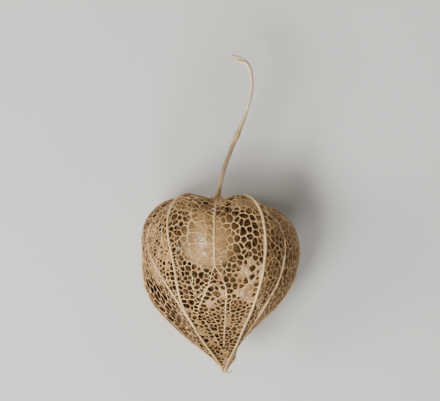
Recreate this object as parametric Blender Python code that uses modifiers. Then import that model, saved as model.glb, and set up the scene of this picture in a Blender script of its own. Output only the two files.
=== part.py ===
"""A skeletonised Chinese lantern (Physalis) seed pod, picked with its stalk and laid on its side.

Three pieces grow together: the netted husk with its ten ribs, the round berry inside it,
and the stalk, whose end passes through the husk's collar and carries the berry.
Model space is metres, +Z up. The husk's axis runs along Y, with the stalk at +Y and the tip at -Y.
Everything is first placed round the collar's centre, then lifted so that it lies on z = 0.
"""

import math
import random
from bisect import bisect_left

import bmesh
import bpy
from mathutils import Matrix, Vector
from mathutils.geometry import delaunay_2d_cdt

MM = 0.001

# The husk's two outlines, as (distance from the axis, height along it) from the collar to the beak.
# Five main ribs stand out along the first, and five fold ribs lie back along the second.
MAIN_OUTLINE = [
    (2.3, 0.0), (5.8, 0.2), (10.8, 1.25), (15.8, -0.5), (19.4, -5.0), (20.9, -12.0),
    (20.1, -19.0), (17.0, -26.0), (12.1, -32.2), (7.0, -37.6), (2.8, -41.4),
]
FOLD_OUTLINE = [
    (2.3, 0.0), (5.4, -0.6), (10.0, -0.5), (14.8, -2.3), (18.6, -6.4), (20.0, -12.4),
    (18.8, -19.2), (15.0, -26.0), (9.9, -32.2), (5.1, -37.6), (2.2, -41.4),
]
# Each rib: its bearing in degrees round the axis from straight up, how far it swings round below the
# middle and the other way above it, whether it is a main rib, how far its shoulder is raised or sunk
# (mm), how much fuller or leaner it gets below the middle, and where down to the beak (1) it does so most.
RIBS = [
    (-145, 0, False, -0.8, 0.10, 0.55),
    (-108, 0, True, -1.1, 0.19, 0.60),
    (-69, 15, False, -1.8, 0.05, 0.45),
    (-41.5, 3.5, True, 0.0, 0.00, 0.45),
    (-4, -1, False, -0.3, 0.00, 0.45),
    (33.5, -6, True, -0.4, -0.02, 0.45),
    (56, -3, False, -1.4, -0.04, 0.60),
    (102, 0, True, -3.4, -0.42, 0.82),
    (144, 0, False, -1.6, -0.20, 0.78),
    (182, 0, True, -0.7, 0.00, 0.45),
]
RIB_COUNT = len(RIBS)
SWING_REACH = 0.32  # share of the length over which a rib swings, on each side of the middle
UNDER_REACH = 0.965  # the lowest rib's reach: the husk has sunk a little where it lies
LEAN = 0.038  # the axis leans this much towards +X for each unit down to the tip
PANEL_PUFF = 1.0 * MM  # how far a panel bellies out between two ribs at the widest part
PUFF_END = 0.74  # share of the length where the panels stop bellying out
TIP_HOLLOW = 0.25 * MM  # how far it sinks in between them near the tip
REST_FLATTEN = 0.9 * MM  # how far the underside is pressed in where the husk lies
REST_SOFTNESS = 0.25 * MM

CELL_SIZE = 4.0 * MM
CELL_JITTER = 0.13  # shares of a cell
RIB_SEED = 0.27  # how far from a rib the seeds beside it stand
RIB_REACH = 0.03  # of a panel: a corner this near a rib lies on it
WELD = 0.08 * MM
RIB_THICKNESS = 1.1 * MM
NET_THICKNESS = 0.66 * MM
END_RADIUS = 3.0 * MM  # nearer the axis than this, at both ends, the ribs thin out
END_SHARE = 0.72
SHORTEST_EDGE = 1.0 * MM
SOLE_CUT = 0.3 * MM  # depth of the flat that the floor leaves on the lowest rib

BEAK_START = -40.8 * MM  # inside the net's last ring, which the beak grows from
BEAK_RADII = (3.1 * MM, 0.75 * MM, 0.3 * MM)  # at its base, where its point starts, and at its tip
BEAK_LENGTHS = (2.8 * MM, 1.5 * MM)
BEAK_SIDES = 10
BEAK_FOLD = 0.72  # radius of its folds as a share of its ridges

BERRY_RADIUS = 7.75 * MM
BERRY_STRETCH = 1.06  # its height over its width
BERRY_CENTRE = Vector((-2.3, -9.95, -0.6)) * MM
BERRY_DENT = 0.35 * MM  # where the receptacle meets it
BERRY_DENT_SPREAD = math.radians(18)
BERRY_MERIDIANS = 36
BERRY_RINGS = 22

# The stalk's centre line and radius: the receptacle's flange inside the husk, the neck in the collar,
# the joint half way out, and the torn heel.
STALK_PATH = [
    (0.0, -1.30, 0.0, 2.00), (0.0, -0.85, 0.0, 2.00), (0.0, -0.55, 0.0, 1.50), (0.0, 0.40, 0.0, 1.40),
    (0.1, 1.10, 0.0, 0.90), (0.4, 3.00, 0.1, 0.67), (1.1, 6.20, 0.2, 0.58), (2.4, 10.2, 0.5, 0.53),
    (4.2, 14.8, 0.8, 0.56), (4.9, 16.4, 0.9, 0.68), (5.6, 18.1, 1.0, 0.56), (7.0, 21.8, 1.2, 0.48),
    (8.2, 25.8, 1.2, 0.45), (8.7, 29.2, 1.0, 0.45), (8.5, 32.2, 0.7, 0.48), (7.7, 34.3, 0.4, 0.50),
    (6.5, 35.5, 0.25, 0.54), (5.1, 36.1, 0.1, 0.66), (3.7, 36.6, 0.0, 0.80),
]
STALK_STATIONS = 3  # cross sections for each stretch of the path

STRAW = (0.66, 0.53, 0.36)
BERRY_TAN = (0.62, 0.43, 0.22)
STALK_BUFF = (0.60, 0.49, 0.35)


def clear_scene():
    """Removes every object that is in the scene."""
    for obj in list(bpy.data.objects):
        bpy.data.objects.remove(obj, do_unlink=True)


def principled(name, colour, roughness):
    """A plain non-metal material."""
    material = bpy.data.materials.new(name)
    material.use_nodes = True
    shader = material.node_tree.nodes["Principled BSDF"]
    shader.inputs["Base Color"].default_value = (*colour, 1.0)
    shader.inputs["Roughness"].default_value = roughness
    shader.inputs["Metallic"].default_value = 0.0
    return material


def through(points, t):
    """The Catmull-Rom curve through points, at parameter t from 0 to len(points) - 1."""
    last = len(points) - 1
    i = min(int(t), last - 1)
    f = t - i
    a, b, c, d = (points[max(0, min(last, i + k))] for k in (-1, 0, 1, 2))
    return [
        0.5 * (2 * q + (r - p) * f + (2 * p - 5 * q + 4 * r - s) * f**2 + (3 * q - p - 3 * r + s) * f**3)
        for p, q, r, s in zip(a, b, c, d)
    ]


class Husk:
    """The husk's skin: ten ribs with a panel between each two, from the collar to the beak."""

    steps = 240

    def __init__(self):
        mean = [((a[0] + b[0]) / 2, (a[1] + b[1]) / 2) for a, b in zip(MAIN_OUTLINE, FOLD_OUTLINE)]
        self.last = len(mean) - 1
        ts = [self.last * k / self.steps for k in range(self.steps + 1)]
        line = [Vector(through(mean, t)) * MM for t in ts]
        self.t, self.arc, self.stretch = ts, [0.0], [0.0]
        for a, b in zip(line, line[1:]):
            step = (b - a).length
            self.arc.append(self.arc[-1] + step)
            # Lengths over the local radius keep small cells square all the way down.
            self.stretch.append(self.stretch[-1] + step / ((a.x + b.x) / 2))
        self.radius = [p.x for p in line]

    def look_up(self, keys, values, key):
        """values at key, by straight interpolation over the ascending keys."""
        i = max(1, min(len(keys) - 1, bisect_left(keys, key)))
        f = (key - keys[i - 1]) / (keys[i] - keys[i - 1])
        return values[i - 1] + (values[i] - values[i - 1]) * f

    def rib_point(self, rib, t):
        """(point, outward normal in the rib's plane) on one rib."""
        bearing, swing, is_main, shoulder, fullness, most_at = RIBS[rib % RIB_COUNT]
        outline = MAIN_OUTLINE if is_main else FOLD_OUTLINE
        rho, height = through(outline, t)
        ahead, behind = through(outline, min(t + 0.05, self.last)), through(outline, max(t - 0.05, 0))
        normal = Vector((behind[1] - ahead[1], ahead[0] - behind[0])).normalized()
        share = t / self.last
        height += shoulder * math.sin(math.pi * min(1.0, 2 * share))
        low = max(0.0, 2 * share - 1)
        rho *= 1 + fullness * math.sin(math.pi * low ** (math.log(0.5) / math.log(most_at)))
        if rib % RIB_COUNT == RIB_COUNT - 1:
            rho *= 1 - (1 - UNDER_REACH) * math.sin(math.pi * share)
        angle = math.radians(bearing + swing * max(-1.0, min(1.0, (share - 0.5) / SWING_REACH)))
        out = Vector((math.sin(angle), 0, math.cos(angle)))
        point = (out * rho + Vector((-LEAN * height, height, 0))) * MM
        return point, out * normal.x + Vector((0, normal.y, 0))

    def point(self, turn, t):
        """A point of the skin, turn panels round and t along the outline."""
        rib = math.floor(turn)
        u = turn - rib
        a, normal_a = self.rib_point(rib, t)
        b, normal_b = self.rib_point(rib + 1, t)
        share = t / self.last
        puff = PANEL_PUFF * math.sin(math.pi * min(1.0, share / PUFF_END)) ** 0.8
        puff -= TIP_HOLLOW * max(0.0, (share - 0.6) / 0.4)
        found = a.lerp(b, u) + normal_a.lerp(normal_b, u).normalized() * puff * 4 * u * (1 - u)
        return self.pressed(found)

    def pressed(self, point):
        """The point, kept above the level where the husk lies."""
        level = self.lowest() + REST_FLATTEN
        over = (point.z - level) / REST_SOFTNESS
        if over > 20:
            return point
        return Vector((point.x, point.y, level + REST_SOFTNESS * math.log1p(math.exp(over))))

    def lowest(self):
        """The lowest z of the ribs before the underside is pressed in."""
        widest = max(p[0] for p in MAIN_OUTLINE)
        return widest * UNDER_REACH * math.cos(math.radians(RIBS[-1][0])) * MM


def panel_row(width, brick, rng):
    """Places of one row's seeds across a panel, from 0 to 1, as a brick pattern."""
    count = max(1, round(width / CELL_SIZE))
    if not brick:
        places = [(k + 0.5) / count for k in range(count)]
    else:
        places = [k / count for k in range(1, count)]
        places = [RIB_SEED / count, *places, 1 - RIB_SEED / count]
    inner = range(1, len(places) - 1)
    return [x + (rng.uniform(-1, 1) * CELL_JITTER / count if k in inner else 0) for k, x in enumerate(places)]


def cell_seeds(husk):
    """The middle of each cell of the net, as (turn, stretch), in step on both sides of each rib."""
    rng = random.Random(7)
    row_height = CELL_SIZE * math.sqrt(3) / 2
    rows = round(husk.arc[-1] / row_height)
    seeds = []
    for row in range(rows):
        arc = (row + 0.5) / rows * husk.arc[-1]
        stretch = husk.look_up(husk.arc, husk.stretch, arc)
        width = husk.look_up(husk.arc, husk.radius, arc) * math.tau / RIB_COUNT
        slack = row_height / husk.look_up(husk.arc, husk.radius, arc) * CELL_JITTER
        at_rib = [rng.uniform(-1, 1) * slack for _ in range(RIB_COUNT)]
        for panel in range(RIB_COUNT):
            places = panel_row(width, row % 2 == 1, rng)
            for k, place in enumerate(places):
                if k == 0:
                    shift = at_rib[panel]
                elif k == len(places) - 1:
                    shift = at_rib[(panel + 1) % RIB_COUNT]
                else:
                    shift = rng.uniform(-1, 1) * slack
                shift *= 0 if row in (0, rows - 1) or len(places) == 1 else 1
                seeds.append((panel + place, stretch + shift))
    return seeds


def cell_outlines(husk, seeds):
    """Each cell's corners as (turn, stretch): the seeds' Voronoi cells, mirrored in the two end rings."""
    unit = math.tau / RIB_COUNT  # one panel in the plane where small cells keep their shape
    end = husk.stretch[-1]
    plane = []
    for turn, stretch in seeds:
        for lap in (-RIB_COUNT, 0, RIB_COUNT):
            if -1.5 < turn + lap < RIB_COUNT + 1.5:
                x = (turn + lap) * unit
                plane.append((Vector((x, stretch)), lap == 0))
                plane.append((Vector((x, -stretch)), False))
                plane.append((Vector((x, 2 * end - stretch)), False))
    near = [entry for entry in plane if -1.0 < entry[0].y < end + 1.0]
    points, _, triangles, origins, _, _ = delaunay_2d_cdt([p for p, _ in near], [], [], 0, 1e-9, True)
    around = {}
    for triangle in triangles:
        centre = circle_centre(*(points[k] for k in triangle))
        for k in triangle:
            around.setdefault(k, []).append(centre)
    outlines = []
    for k, corners in around.items():
        if origins[k] and near[origins[k][0]][1]:
            middle = points[k]
            corners.sort(key=lambda c: math.atan2(c.y - middle.y, c.x - middle.x))
            outlines.append([(c.x / unit, min(max(c.y, 0.0), end)) for c in corners])
    return outlines


def circle_centre(a, b, c):
    """The centre of the circle through three points of the plane."""
    p, q = b - a, c - a
    cross = 2 * (p.x * q.y - p.y * q.x)
    x = (q.y * p.length_squared - p.y * q.length_squared) / cross
    y = (p.x * q.length_squared - q.x * p.length_squared) / cross
    return a + Vector((x, y))


def net_sheet(husk):
    """The husk as one polygon for each cell, with the share of the rib's thickness at each corner."""
    bm = bmesh.new()
    on_rib = bm.verts.layers.int.new("on_rib")
    for outline in cell_outlines(husk, cell_seeds(husk)):
        corners = []
        for turn, stretch in outline:
            nearest = round(turn)
            is_rib = abs(turn - nearest) < RIB_REACH
            t = husk.look_up(husk.stretch, husk.t, stretch)
            corner = bm.verts.new(husk.point(nearest if is_rib else turn, t))
            corner[on_rib] = 1 if is_rib or stretch in (0.0, husk.stretch[-1]) else 0
            corners.append(corner)
        bm.faces.new(corners)
    bmesh.ops.remove_doubles(bm, verts=bm.verts, dist=WELD)
    drop_short_edges(bm, on_rib)
    bmesh.ops.recalc_face_normals(bm, faces=bm.faces)
    return bm, on_rib


def drop_short_edges(bm, on_rib):
    """Pulls the ends of each short edge together, onto the rib where one end lies on it."""
    while True:
        edge = min(bm.edges, key=lambda e: e.calc_length())
        if edge.calc_length() > SHORTEST_EDGE:
            return
        a, b = edge.verts
        if a[on_rib] == b[on_rib]:
            meet = (a.co + b.co) / 2
        else:
            meet = (a if a[on_rib] else b).co.copy()
        marked = max(a[on_rib], b[on_rib])
        a[on_rib] = b[on_rib] = marked
        bmesh.ops.pointmerge(bm, verts=[a, b], merge_co=meet)


def husk_net(husk):
    """The net of veins: each cell's edges turned into bars, thick along the ribs."""
    bm, on_rib = net_sheet(husk)
    shares = []
    for vertex in bm.verts:
        from_axis = math.hypot(vertex.co.x + LEAN * vertex.co.y, vertex.co.z)
        rib_share = END_SHARE if from_axis < END_RADIUS else 1.0
        shares.append(rib_share if vertex[on_rib] else NET_THICKNESS / RIB_THICKNESS)
    net = object_from(bm, "husk_net")
    group = net.vertex_groups.new(name="thickness")
    for k, share in enumerate(shares):
        group.add([k], share, "REPLACE")
    wire = net.modifiers.new("bars", "WIREFRAME")
    wire.thickness = RIB_THICKNESS
    wire.use_even_offset = True
    wire.use_boundary = True
    wire.use_replace = True
    wire.vertex_group = group.name
    wire.thickness_vertex_group = 0.0
    return net


def beak():
    """The solid tip, where the husk's lobes are pressed together: a folded cone that ends in a thin point."""
    base, neck, tip = BEAK_RADII
    bm = bmesh.new()
    bmesh.ops.create_cone(
        bm, cap_ends=True, segments=BEAK_SIDES, radius1=base, radius2=neck,
        depth=BEAK_LENGTHS[0], matrix=Matrix.Translation((0, 0, BEAK_LENGTHS[0] / 2)),
    )
    for vertex in bm.verts:
        side = round(math.atan2(vertex.co.y, vertex.co.x) / math.tau * BEAK_SIDES)
        if side % 2:
            vertex.co.x *= BEAK_FOLD
            vertex.co.y *= BEAK_FOLD
    top = max(bm.faces, key=lambda face: face.calc_center_median().z)
    grown = bmesh.ops.extrude_discrete_faces(bm, faces=[top])["faces"][0]
    bmesh.ops.translate(bm, vec=(0, 0, BEAK_LENGTHS[1]), verts=grown.verts)
    bmesh.ops.scale(bm, vec=(tip / neck, tip / neck, 1), verts=grown.verts)
    point_down = Vector((LEAN, -1, 0)).to_track_quat("Z", "X").to_matrix().to_4x4()
    start = Matrix.Translation((-LEAN * BEAK_START, BEAK_START, 0))
    bmesh.ops.transform(bm, matrix=start @ point_down, verts=bm.verts)
    return object_from(bm, "beak")


def floor_slab(level):
    """A slab whose top is the surface that the husk lies on, to cut the flat on its lowest rib."""
    bm = bmesh.new()
    side, depth = 80 * MM, 6 * MM
    size = Matrix.Diagonal((side, side, depth, 1))
    bmesh.ops.create_cube(bm, size=1, matrix=Matrix.Translation((0, 0, level - depth / 2)) @ size)
    return object_from(bm, "floor_slab")


def berry():
    """The dried berry: a sphere a little taller than wide, with a dent where the receptacle meets it."""
    bm = bmesh.new()
    bmesh.ops.create_uvsphere(bm, u_segments=BERRY_MERIDIANS, v_segments=BERRY_RINGS, radius=BERRY_RADIUS)
    for vertex in bm.verts:
        off_pole = vertex.co.angle(Vector((0, 0, 1)), 0.0) / BERRY_DENT_SPREAD
        vertex.co *= 1 - BERRY_DENT / BERRY_RADIUS * math.exp(-off_pole**2)
        vertex.co.z *= BERRY_STRETCH
    obj = object_from(bm, "berry")
    obj.location = BERRY_CENTRE
    obj.rotation_mode = "QUATERNION"
    obj.rotation_quaternion = (-BERRY_CENTRE).to_track_quat("Z", "Y")
    obj.data.shade_smooth()
    return obj


def stalk():
    """The stalk as one tube, from the receptacle inside the husk to the torn heel."""
    curve = bpy.data.curves.new("stalk", "CURVE")
    curve.dimensions = "3D"
    curve.bevel_depth = MM
    curve.bevel_resolution = 3
    curve.use_fill_caps = True
    last = len(STALK_PATH) - 1
    stations = [through(STALK_PATH, k / STALK_STATIONS) for k in range(last * STALK_STATIONS + 1)]
    spline = curve.splines.new("POLY")
    spline.points.add(len(stations) - 1)
    for point, (x, y, z, radius) in zip(spline.points, stations):
        point.co = (x * MM, y * MM, z * MM, 1)
        point.radius = radius
    return bpy.data.objects.new("stalk", curve)


def object_from(bm, name):
    """A mesh object holding bm, which it frees."""
    mesh = bpy.data.meshes.new(name)
    bm.to_mesh(mesh)
    bm.free()
    return bpy.data.objects.new(name, mesh)


def join_and_cut(net, tip, slab, cutters):
    """Fuses the beak to the net and cuts the flat where it lies."""
    for operation, tool in (("UNION", tip), ("DIFFERENCE", slab)):
        cutters.objects.link(tool)
        tool.hide_render = True
        tool.display_type = "WIRE"
        boolean = net.modifiers.new(tool.name, "BOOLEAN")
        boolean.operation = operation
        boolean.object = tool
        boolean.solver = "EXACT"


def bounds(parts):
    """The lowest and highest corner of the parts, with their modifiers."""
    graph = bpy.context.evaluated_depsgraph_get()
    corners = []
    for obj in parts:
        mesh = obj.evaluated_get(graph).to_mesh()
        corners += [obj.matrix_world @ v.co for v in mesh.vertices]
        obj.evaluated_get(graph).to_mesh_clear()
    return [Vector(pick(c[k] for c in corners) for k in range(3)) for pick in (min, max)]


def main():
    clear_scene()
    scene = bpy.context.scene
    pod = bpy.data.collections.new("lantern_pod")
    cutters = bpy.data.collections.new("cutters")
    scene.collection.children.link(pod)
    scene.collection.children.link(cutters)

    husk = Husk()
    net = husk_net(husk)
    fruit = berry()
    stem = stalk()
    floor = husk.lowest() + REST_FLATTEN - RIB_THICKNESS / 2 + SOLE_CUT
    tip, slab = beak(), floor_slab(floor)
    join_and_cut(net, tip, slab, cutters)

    parts = {net: ("husk", STRAW, 0.6), fruit: ("berry", BERRY_TAN, 0.3), stem: ("stalk", STALK_BUFF, 0.6)}
    for obj, finish in parts.items():
        pod.objects.link(obj)
        obj.data.materials.append(principled(*finish))

    # Everything lies on z = 0, centred over the origin.
    bpy.context.view_layer.update()
    low, high = bounds(parts)
    anchor = bpy.data.objects.new("lantern_pod", None)
    pod.objects.link(anchor)
    for obj in (*parts, tip, slab):
        obj.parent = anchor
    anchor.location = (-(low.x + high.x) / 2, -(low.y + high.y) / 2, -low.z)
    bpy.context.view_layer.update()


main()
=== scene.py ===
import math
import random
from bisect import bisect_left

import bmesh
import bpy
import numpy as np
from mathutils import Matrix, Vector, noise
from mathutils.geometry import delaunay_2d_cdt


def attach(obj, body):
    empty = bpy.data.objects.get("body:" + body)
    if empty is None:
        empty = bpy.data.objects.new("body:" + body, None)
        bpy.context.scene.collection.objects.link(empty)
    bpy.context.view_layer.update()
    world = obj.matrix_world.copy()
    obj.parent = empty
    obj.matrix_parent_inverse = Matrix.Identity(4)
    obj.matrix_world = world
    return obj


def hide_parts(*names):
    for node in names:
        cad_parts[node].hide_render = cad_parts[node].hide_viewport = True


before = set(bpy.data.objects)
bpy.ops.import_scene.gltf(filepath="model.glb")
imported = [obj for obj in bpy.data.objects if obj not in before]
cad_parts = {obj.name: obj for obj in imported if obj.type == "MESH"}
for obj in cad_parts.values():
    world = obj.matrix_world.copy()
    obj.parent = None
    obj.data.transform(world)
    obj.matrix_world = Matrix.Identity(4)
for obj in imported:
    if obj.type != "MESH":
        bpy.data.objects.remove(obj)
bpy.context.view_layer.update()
mm = 0.001

# The husk, the berry and the stalk are drawn round the middle of the husk's collar.
# The receptacle's inner face shows where that is: its middle lies on the husk's axis.
faceDepth = 0.2 * mm          # of the points that belong to that face
faceToCollar = 1.3 * mm
stalkPoints = [v.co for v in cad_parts["stalk"].data.vertices]
innermost = min(p.y for p in stalkPoints)
innerFace = [p for p in stalkPoints if p.y < innermost + faceDepth]
collar = sum(innerFace, Vector()) / len(innerFace) + Vector((0, faceToCollar, 0))
print("collar at", [round(c / mm, 2) for c in collar], "mm")


# Husk skin
huskValues = {
    # distance from the axis and height along it, mm, down a main rib and down a fold rib
    "mainOutline": [
        (2.3, 0.0), (5.8, 0.2), (10.8, 1.25), (15.8, -0.5), (19.4, -5.0), (20.9, -12.0), (20.1, -19.0),
        (17.0, -26.0), (12.1, -32.2), (7.0, -37.6), (2.8, -41.4), (1.25, -43.1), (0.42, -44.6),
    ],
    "foldOutline": [
        (2.3, 0.0), (5.4, -0.6), (10.0, -0.5), (14.8, -2.3), (18.6, -6.4), (20.0, -12.4), (18.8, -19.2),
        (15.0, -26.0), (9.9, -32.2), (5.1, -37.6), (2.2, -41.4), (1.05, -43.1), (0.42, -44.6),
    ],
    "pointSteps": 2,          # how many of those points lie past the place where the husk closes
    # bearing round the axis, swing, main rib or not, shoulder mm, fullness low down, where it is fullest
    "ribs": [
        (-145, 0, False, -0.8, 0.10, 0.55),
        (-108, 0, True, -1.1, 0.19, 0.60),
        (-69, 15, False, -1.8, 0.05, 0.45),
        (-41.5, 3.5, True, 0.0, 0.00, 0.45),
        (-4, -1, False, -0.3, 0.00, 0.45),
        (33.5, -6, True, -0.4, -0.02, 0.45),
        (56, -3, False, -1.4, -0.04, 0.60),
        (102, 0, True, -3.4, -0.42, 0.82),
        (144, 0, False, -1.6, -0.20, 0.78),
        (182, 0, True, -0.7, 0.00, 0.45),
    ],
    "swingReach": 0.32,       # of the length, from its middle to where a rib has swung all its way
    # a rib that runs into another: which one, and the shares of the length where it sets off and arrives
    "joins": {2: (3, 0.39, 0.82)},
    "joinShare": 0.93,        # of the way to the other rib that it comes
    # a rib that bows aside: degrees, and the shares of the length where it does and over which
    "bows": {3: (6.2, 0.57, 0.13)},
    "underReach": 0.965,      # the lowest rib has sunk a little
    "lean": 0.038,            # of the axis towards +X, on the way down to the tip
    "panelPuff": 1.0,         # mm that a panel bellies out between two ribs
    "puffEnd": 0.74,          # of the length, past which they stop bellying
    "puffPower": 0.8,         # under 1 is fuller
    "shoulderSag": 1.2,       # mm that it hangs lower than the arching ribs near the collar
    "sagAt": 0.11,            # of the length
    "sagSpread": 0.07,
    "tipHollow": 0.25,        # mm that it sinks in near the tip
    "hollowFrom": 0.6,        # of the length
    "restFlatten": 0.9,       # mm that the underside is pressed in
    "restSoftness": 0.25,
    "soleDrop": 0.25,         # mm from the pressed skin down to the floor
    "dentDepth": 0.30,        # mm of uneven dents in the panels
    "dentSize": 5.0,          # mm
    "slender": 2.5,           # mm, under this radius puff and dents fade out
}


def curveThrough(points, t):
    last = len(points) - 1
    i = min(int(t), last - 1)
    f = t - i
    p, q, r, s = (points[max(0, min(last, i + k))] for k in (-1, 0, 1, 2))
    return [
        0.5 * (2 * b + (c - a) * f + (2 * a - 5 * b + 4 * c - d) * f**2 + (3 * b - a - 3 * c + d) * f**3)
        for a, b, c, d in zip(p, q, r, s)
    ]


def lookUp(keys, values, key):
    i = max(1, min(len(keys) - 1, bisect_left(keys, key)))
    f = (key - keys[i - 1]) / (keys[i] - keys[i - 1])
    return values[i - 1] + (values[i] - values[i - 1]) * f


class HuskSkin:
    # turn counts ribs round the axis and t counts outline points down it
    steps = 288
    slopeStep = 0.05          # in t, each way
    # a coarse grid over the upper side, where onFront starts, and its finer and finer steps
    frontTurns = [1.3 + 0.1 * i for i in range(55)]
    frontSteps = [0.2 + 0.15 * j for j in range(78)]
    searchSteps = (0.06, 0.03, 0.015)

    def __init__(self, values):
        self.v = values
        self.ribCount = len(values["ribs"])
        both = zip(values["mainOutline"], values["foldOutline"])
        mean = [((a[0] + b[0]) / 2, (a[1] + b[1]) / 2) for a, b in both]
        self.end = len(mean) - 1
        self.last = self.end - values["pointSteps"]
        self.t = [self.end * k / self.steps for k in range(self.steps + 1)]
        line = [Vector(curveThrough(mean, t)) for t in self.t]
        self.radius = [p.x for p in line]
        self.arc, self.stretch = [0.0], [0.0]
        for a, b in zip(line, line[1:]):
            step = (b - a).length
            self.arc.append(self.arc[-1] + step)
            self.stretch.append(self.stretch[-1] + step * 2 / (a.x + b.x))
        widest = max(p[0] for p in values["mainOutline"])
        lowest = widest * values["underReach"] * math.cos(math.radians(values["ribs"][-1][0]))
        self.pressLevel = lowest + values["restFlatten"]
        self.ribCache = {}
        self.front = []

    def share(self, t):
        return min(1.0, t / self.last)

    def joining(self, rib, t):
        # the rib that this one runs into, and how near it has come
        other, start, stop = self.v["joins"].get(rib, (rib, 0.0, 1.0))
        way = max(0.0, min(1.0, (self.share(t) - start) / (stop - start)))
        return other, self.v["joinShare"] * way * way * (3 - 2 * way)

    def ownBearing(self, rib, t):
        base, swing = self.v["ribs"][rib][:2]
        over = (t / self.last - 0.5) / self.v["swingReach"]
        bow, bowAt, bowSpread = self.v["bows"].get(rib, (0, 0, 1))
        aside = bow * math.exp(-((self.share(t) - bowAt) / bowSpread) ** 2)
        return math.radians(base + swing * max(-1.0, min(1.0, over)) + aside)

    def bearing(self, rib, t):
        lap, rib = divmod(rib, self.ribCount)
        other, near = self.joining(rib, t)
        own = self.ownBearing(rib, t)
        return own + (self.ownBearing(other, t) - own) * near + lap * math.tau

    def ownOutline(self, rib, t):
        # distance from the axis and height along it, mm
        v = self.v
        _, _, isMain, shoulder, fullness, mostAt = v["ribs"][rib]
        rho, height = curveThrough(v["mainOutline"] if isMain else v["foldOutline"], t)
        share = self.share(t)
        height += shoulder * math.sin(math.pi * min(1.0, 2 * share))
        low = max(0.0, 2 * share - 1)
        rho *= 1 + fullness * math.sin(math.pi * low ** (math.log(0.5) / math.log(mostAt)))
        if rib == self.ribCount - 1:
            rho *= 1 - (1 - v["underReach"]) * math.sin(math.pi * share)
        return Vector((rho, height))

    def ribPoint(self, rib, t):
        # point and outward direction on one rib, in mm round the collar
        key = (rib % self.ribCount, round(t, 4))
        if key in self.ribCache:
            return self.ribCache[key]
        v = self.v
        outline = v["mainOutline"] if v["ribs"][key[0]][2] else v["foldOutline"]
        ahead = curveThrough(outline, min(t + self.slopeStep, self.end))
        behind = curveThrough(outline, max(t - self.slopeStep, 0))
        normal = Vector((behind[1] - ahead[1], ahead[0] - behind[0])).normalized()
        other, near = self.joining(key[0], t)
        rho, height = self.ownOutline(key[0], t).lerp(self.ownOutline(other, t), near)
        angle = self.bearing(key[0], t)
        out = Vector((math.sin(angle), 0, math.cos(angle)))
        point = out * rho + Vector((-v["lean"] * height, height, 0))
        self.ribCache[key] = (point, out * normal.x + Vector((0, normal.y, 0)))
        return self.ribCache[key]

    def place(self, turn, t):
        # a point of the skin in world metres, and the direction out of it
        v = self.v
        rib = math.floor(turn)
        u = turn - rib
        a, normalA = self.ribPoint(rib, t)
        b, normalB = self.ribPoint(rib + 1, t)
        share = self.share(t)
        puff = v["panelPuff"] * math.sin(math.pi * min(1.0, share / v["puffEnd"])) ** v["puffPower"]
        puff -= v["tipHollow"] * max(0.0, (share - v["hollowFrom"]) / (1 - v["hollowFrom"]))
        puff -= v["shoulderSag"] * math.exp(-((share - v["sagAt"]) / v["sagSpread"]) ** 2)
        normal = normalA.lerp(normalB, u).normalized()
        found = a.lerp(b, u)
        puff += noise.noise(found / v["dentSize"]) * v["dentDepth"]
        room = min(1.0, lookUp(self.t, self.radius, t) / v["slender"])
        found += normal * (puff * room * 4 * u * (1 - u))
        over = (found.z - self.pressLevel) / v["restSoftness"]
        if over < 20:     # further up, the press moves nothing
            found.z = self.pressLevel + v["restSoftness"] * math.log1p(math.exp(over))
        return collar + found * mm, normal

    def point(self, turn, t, lift=0.0):
        found, normal = self.place(turn, t)
        return found + normal * lift * mm

    def toPlane(self, turn, t):
        # the plane where small cells keep their shape: bearing, and length over the local radius
        rib = math.floor(turn)
        x = self.bearing(rib, t) + (self.bearing(rib + 1, t) - self.bearing(rib, t)) * (turn - rib)
        return x, lookUp(self.t, self.stretch, t)

    def fromPlane(self, x, y):
        # (turn, t) of a point of the plane
        t = lookUp(self.stretch, self.t, min(max(y, 0.0), self.stretch[-1]))
        lap = math.floor((x - self.bearing(0, t)) / math.tau)
        x -= lap * math.tau
        rib = 0
        while rib < self.ribCount - 1 and x >= self.bearing(rib + 1, t):
            rib += 1
        low, high = self.bearing(rib, t), self.bearing(rib + 1, t)
        return rib + min(0.9999, (x - low) / (high - low)), t

    def radiusAt(self, y):
        return lookUp(self.stretch, self.radius, y)

    def onFront(self, x, y):
        # (turn, t) of the skin over (x, y), mm from the collar, on the side that faces up
        def miss(turn, t):
            away = (self.place(turn, t)[0] - collar) / mm
            return math.hypot(away.x - x, away.y - y)

        if not self.front:
            for turn in self.frontTurns:
                for t in self.frontSteps:
                    away = (self.place(turn, t)[0] - collar) / mm
                    if away.z > 0:
                        self.front.append((away.x, away.y, turn, t))
        start = min(self.front, key=lambda f: (f[0] - x) ** 2 + (f[1] - y) ** 2)
        best = (miss(*start[2:]), *start[2:])
        for step in self.searchSteps:
            for _ in range(6):
                around = [(best[1] + i * step, best[2] + j * step) for i in (-1, 0, 1) for j in (-1, 0, 1)]
                found = min((miss(*p), *p) for p in around)
                if found[0] >= best[0]:
                    break
                best = found
        return best[1:]


skin = HuskSkin(huskValues)
floorLevel = collar.z + (skin.pressLevel - huskValues["soleDrop"]) * mm
print("husk skin ready, its sole", round(floorLevel / mm, 2), "mm over the floor")


# Shared helpers
def objectFrom(bm, name, smooth=True):
    mesh = bpy.data.meshes.new(name)
    bm.to_mesh(mesh)
    bm.free()
    if smooth:
        mesh.shade_smooth()
    piece = bpy.data.objects.new(name, mesh)
    bpy.context.scene.collection.objects.link(piece)
    return piece


def applyModifiers(piece):
    bpy.context.view_layer.update()
    graph = bpy.context.evaluated_depsgraph_get()
    finished = bpy.data.meshes.new_from_object(piece.evaluated_get(graph))
    piece.modifiers.clear()
    piece.data = finished
    piece.data.name = piece.name


def keepAboveFloor(piece):
    places = np.empty(len(piece.data.vertices) * 3, dtype=np.float32)
    piece.data.vertices.foreach_get("co", places)
    places[2::3] = np.maximum(places[2::3], 0.0)
    piece.data.vertices.foreach_set("co", places)


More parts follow.
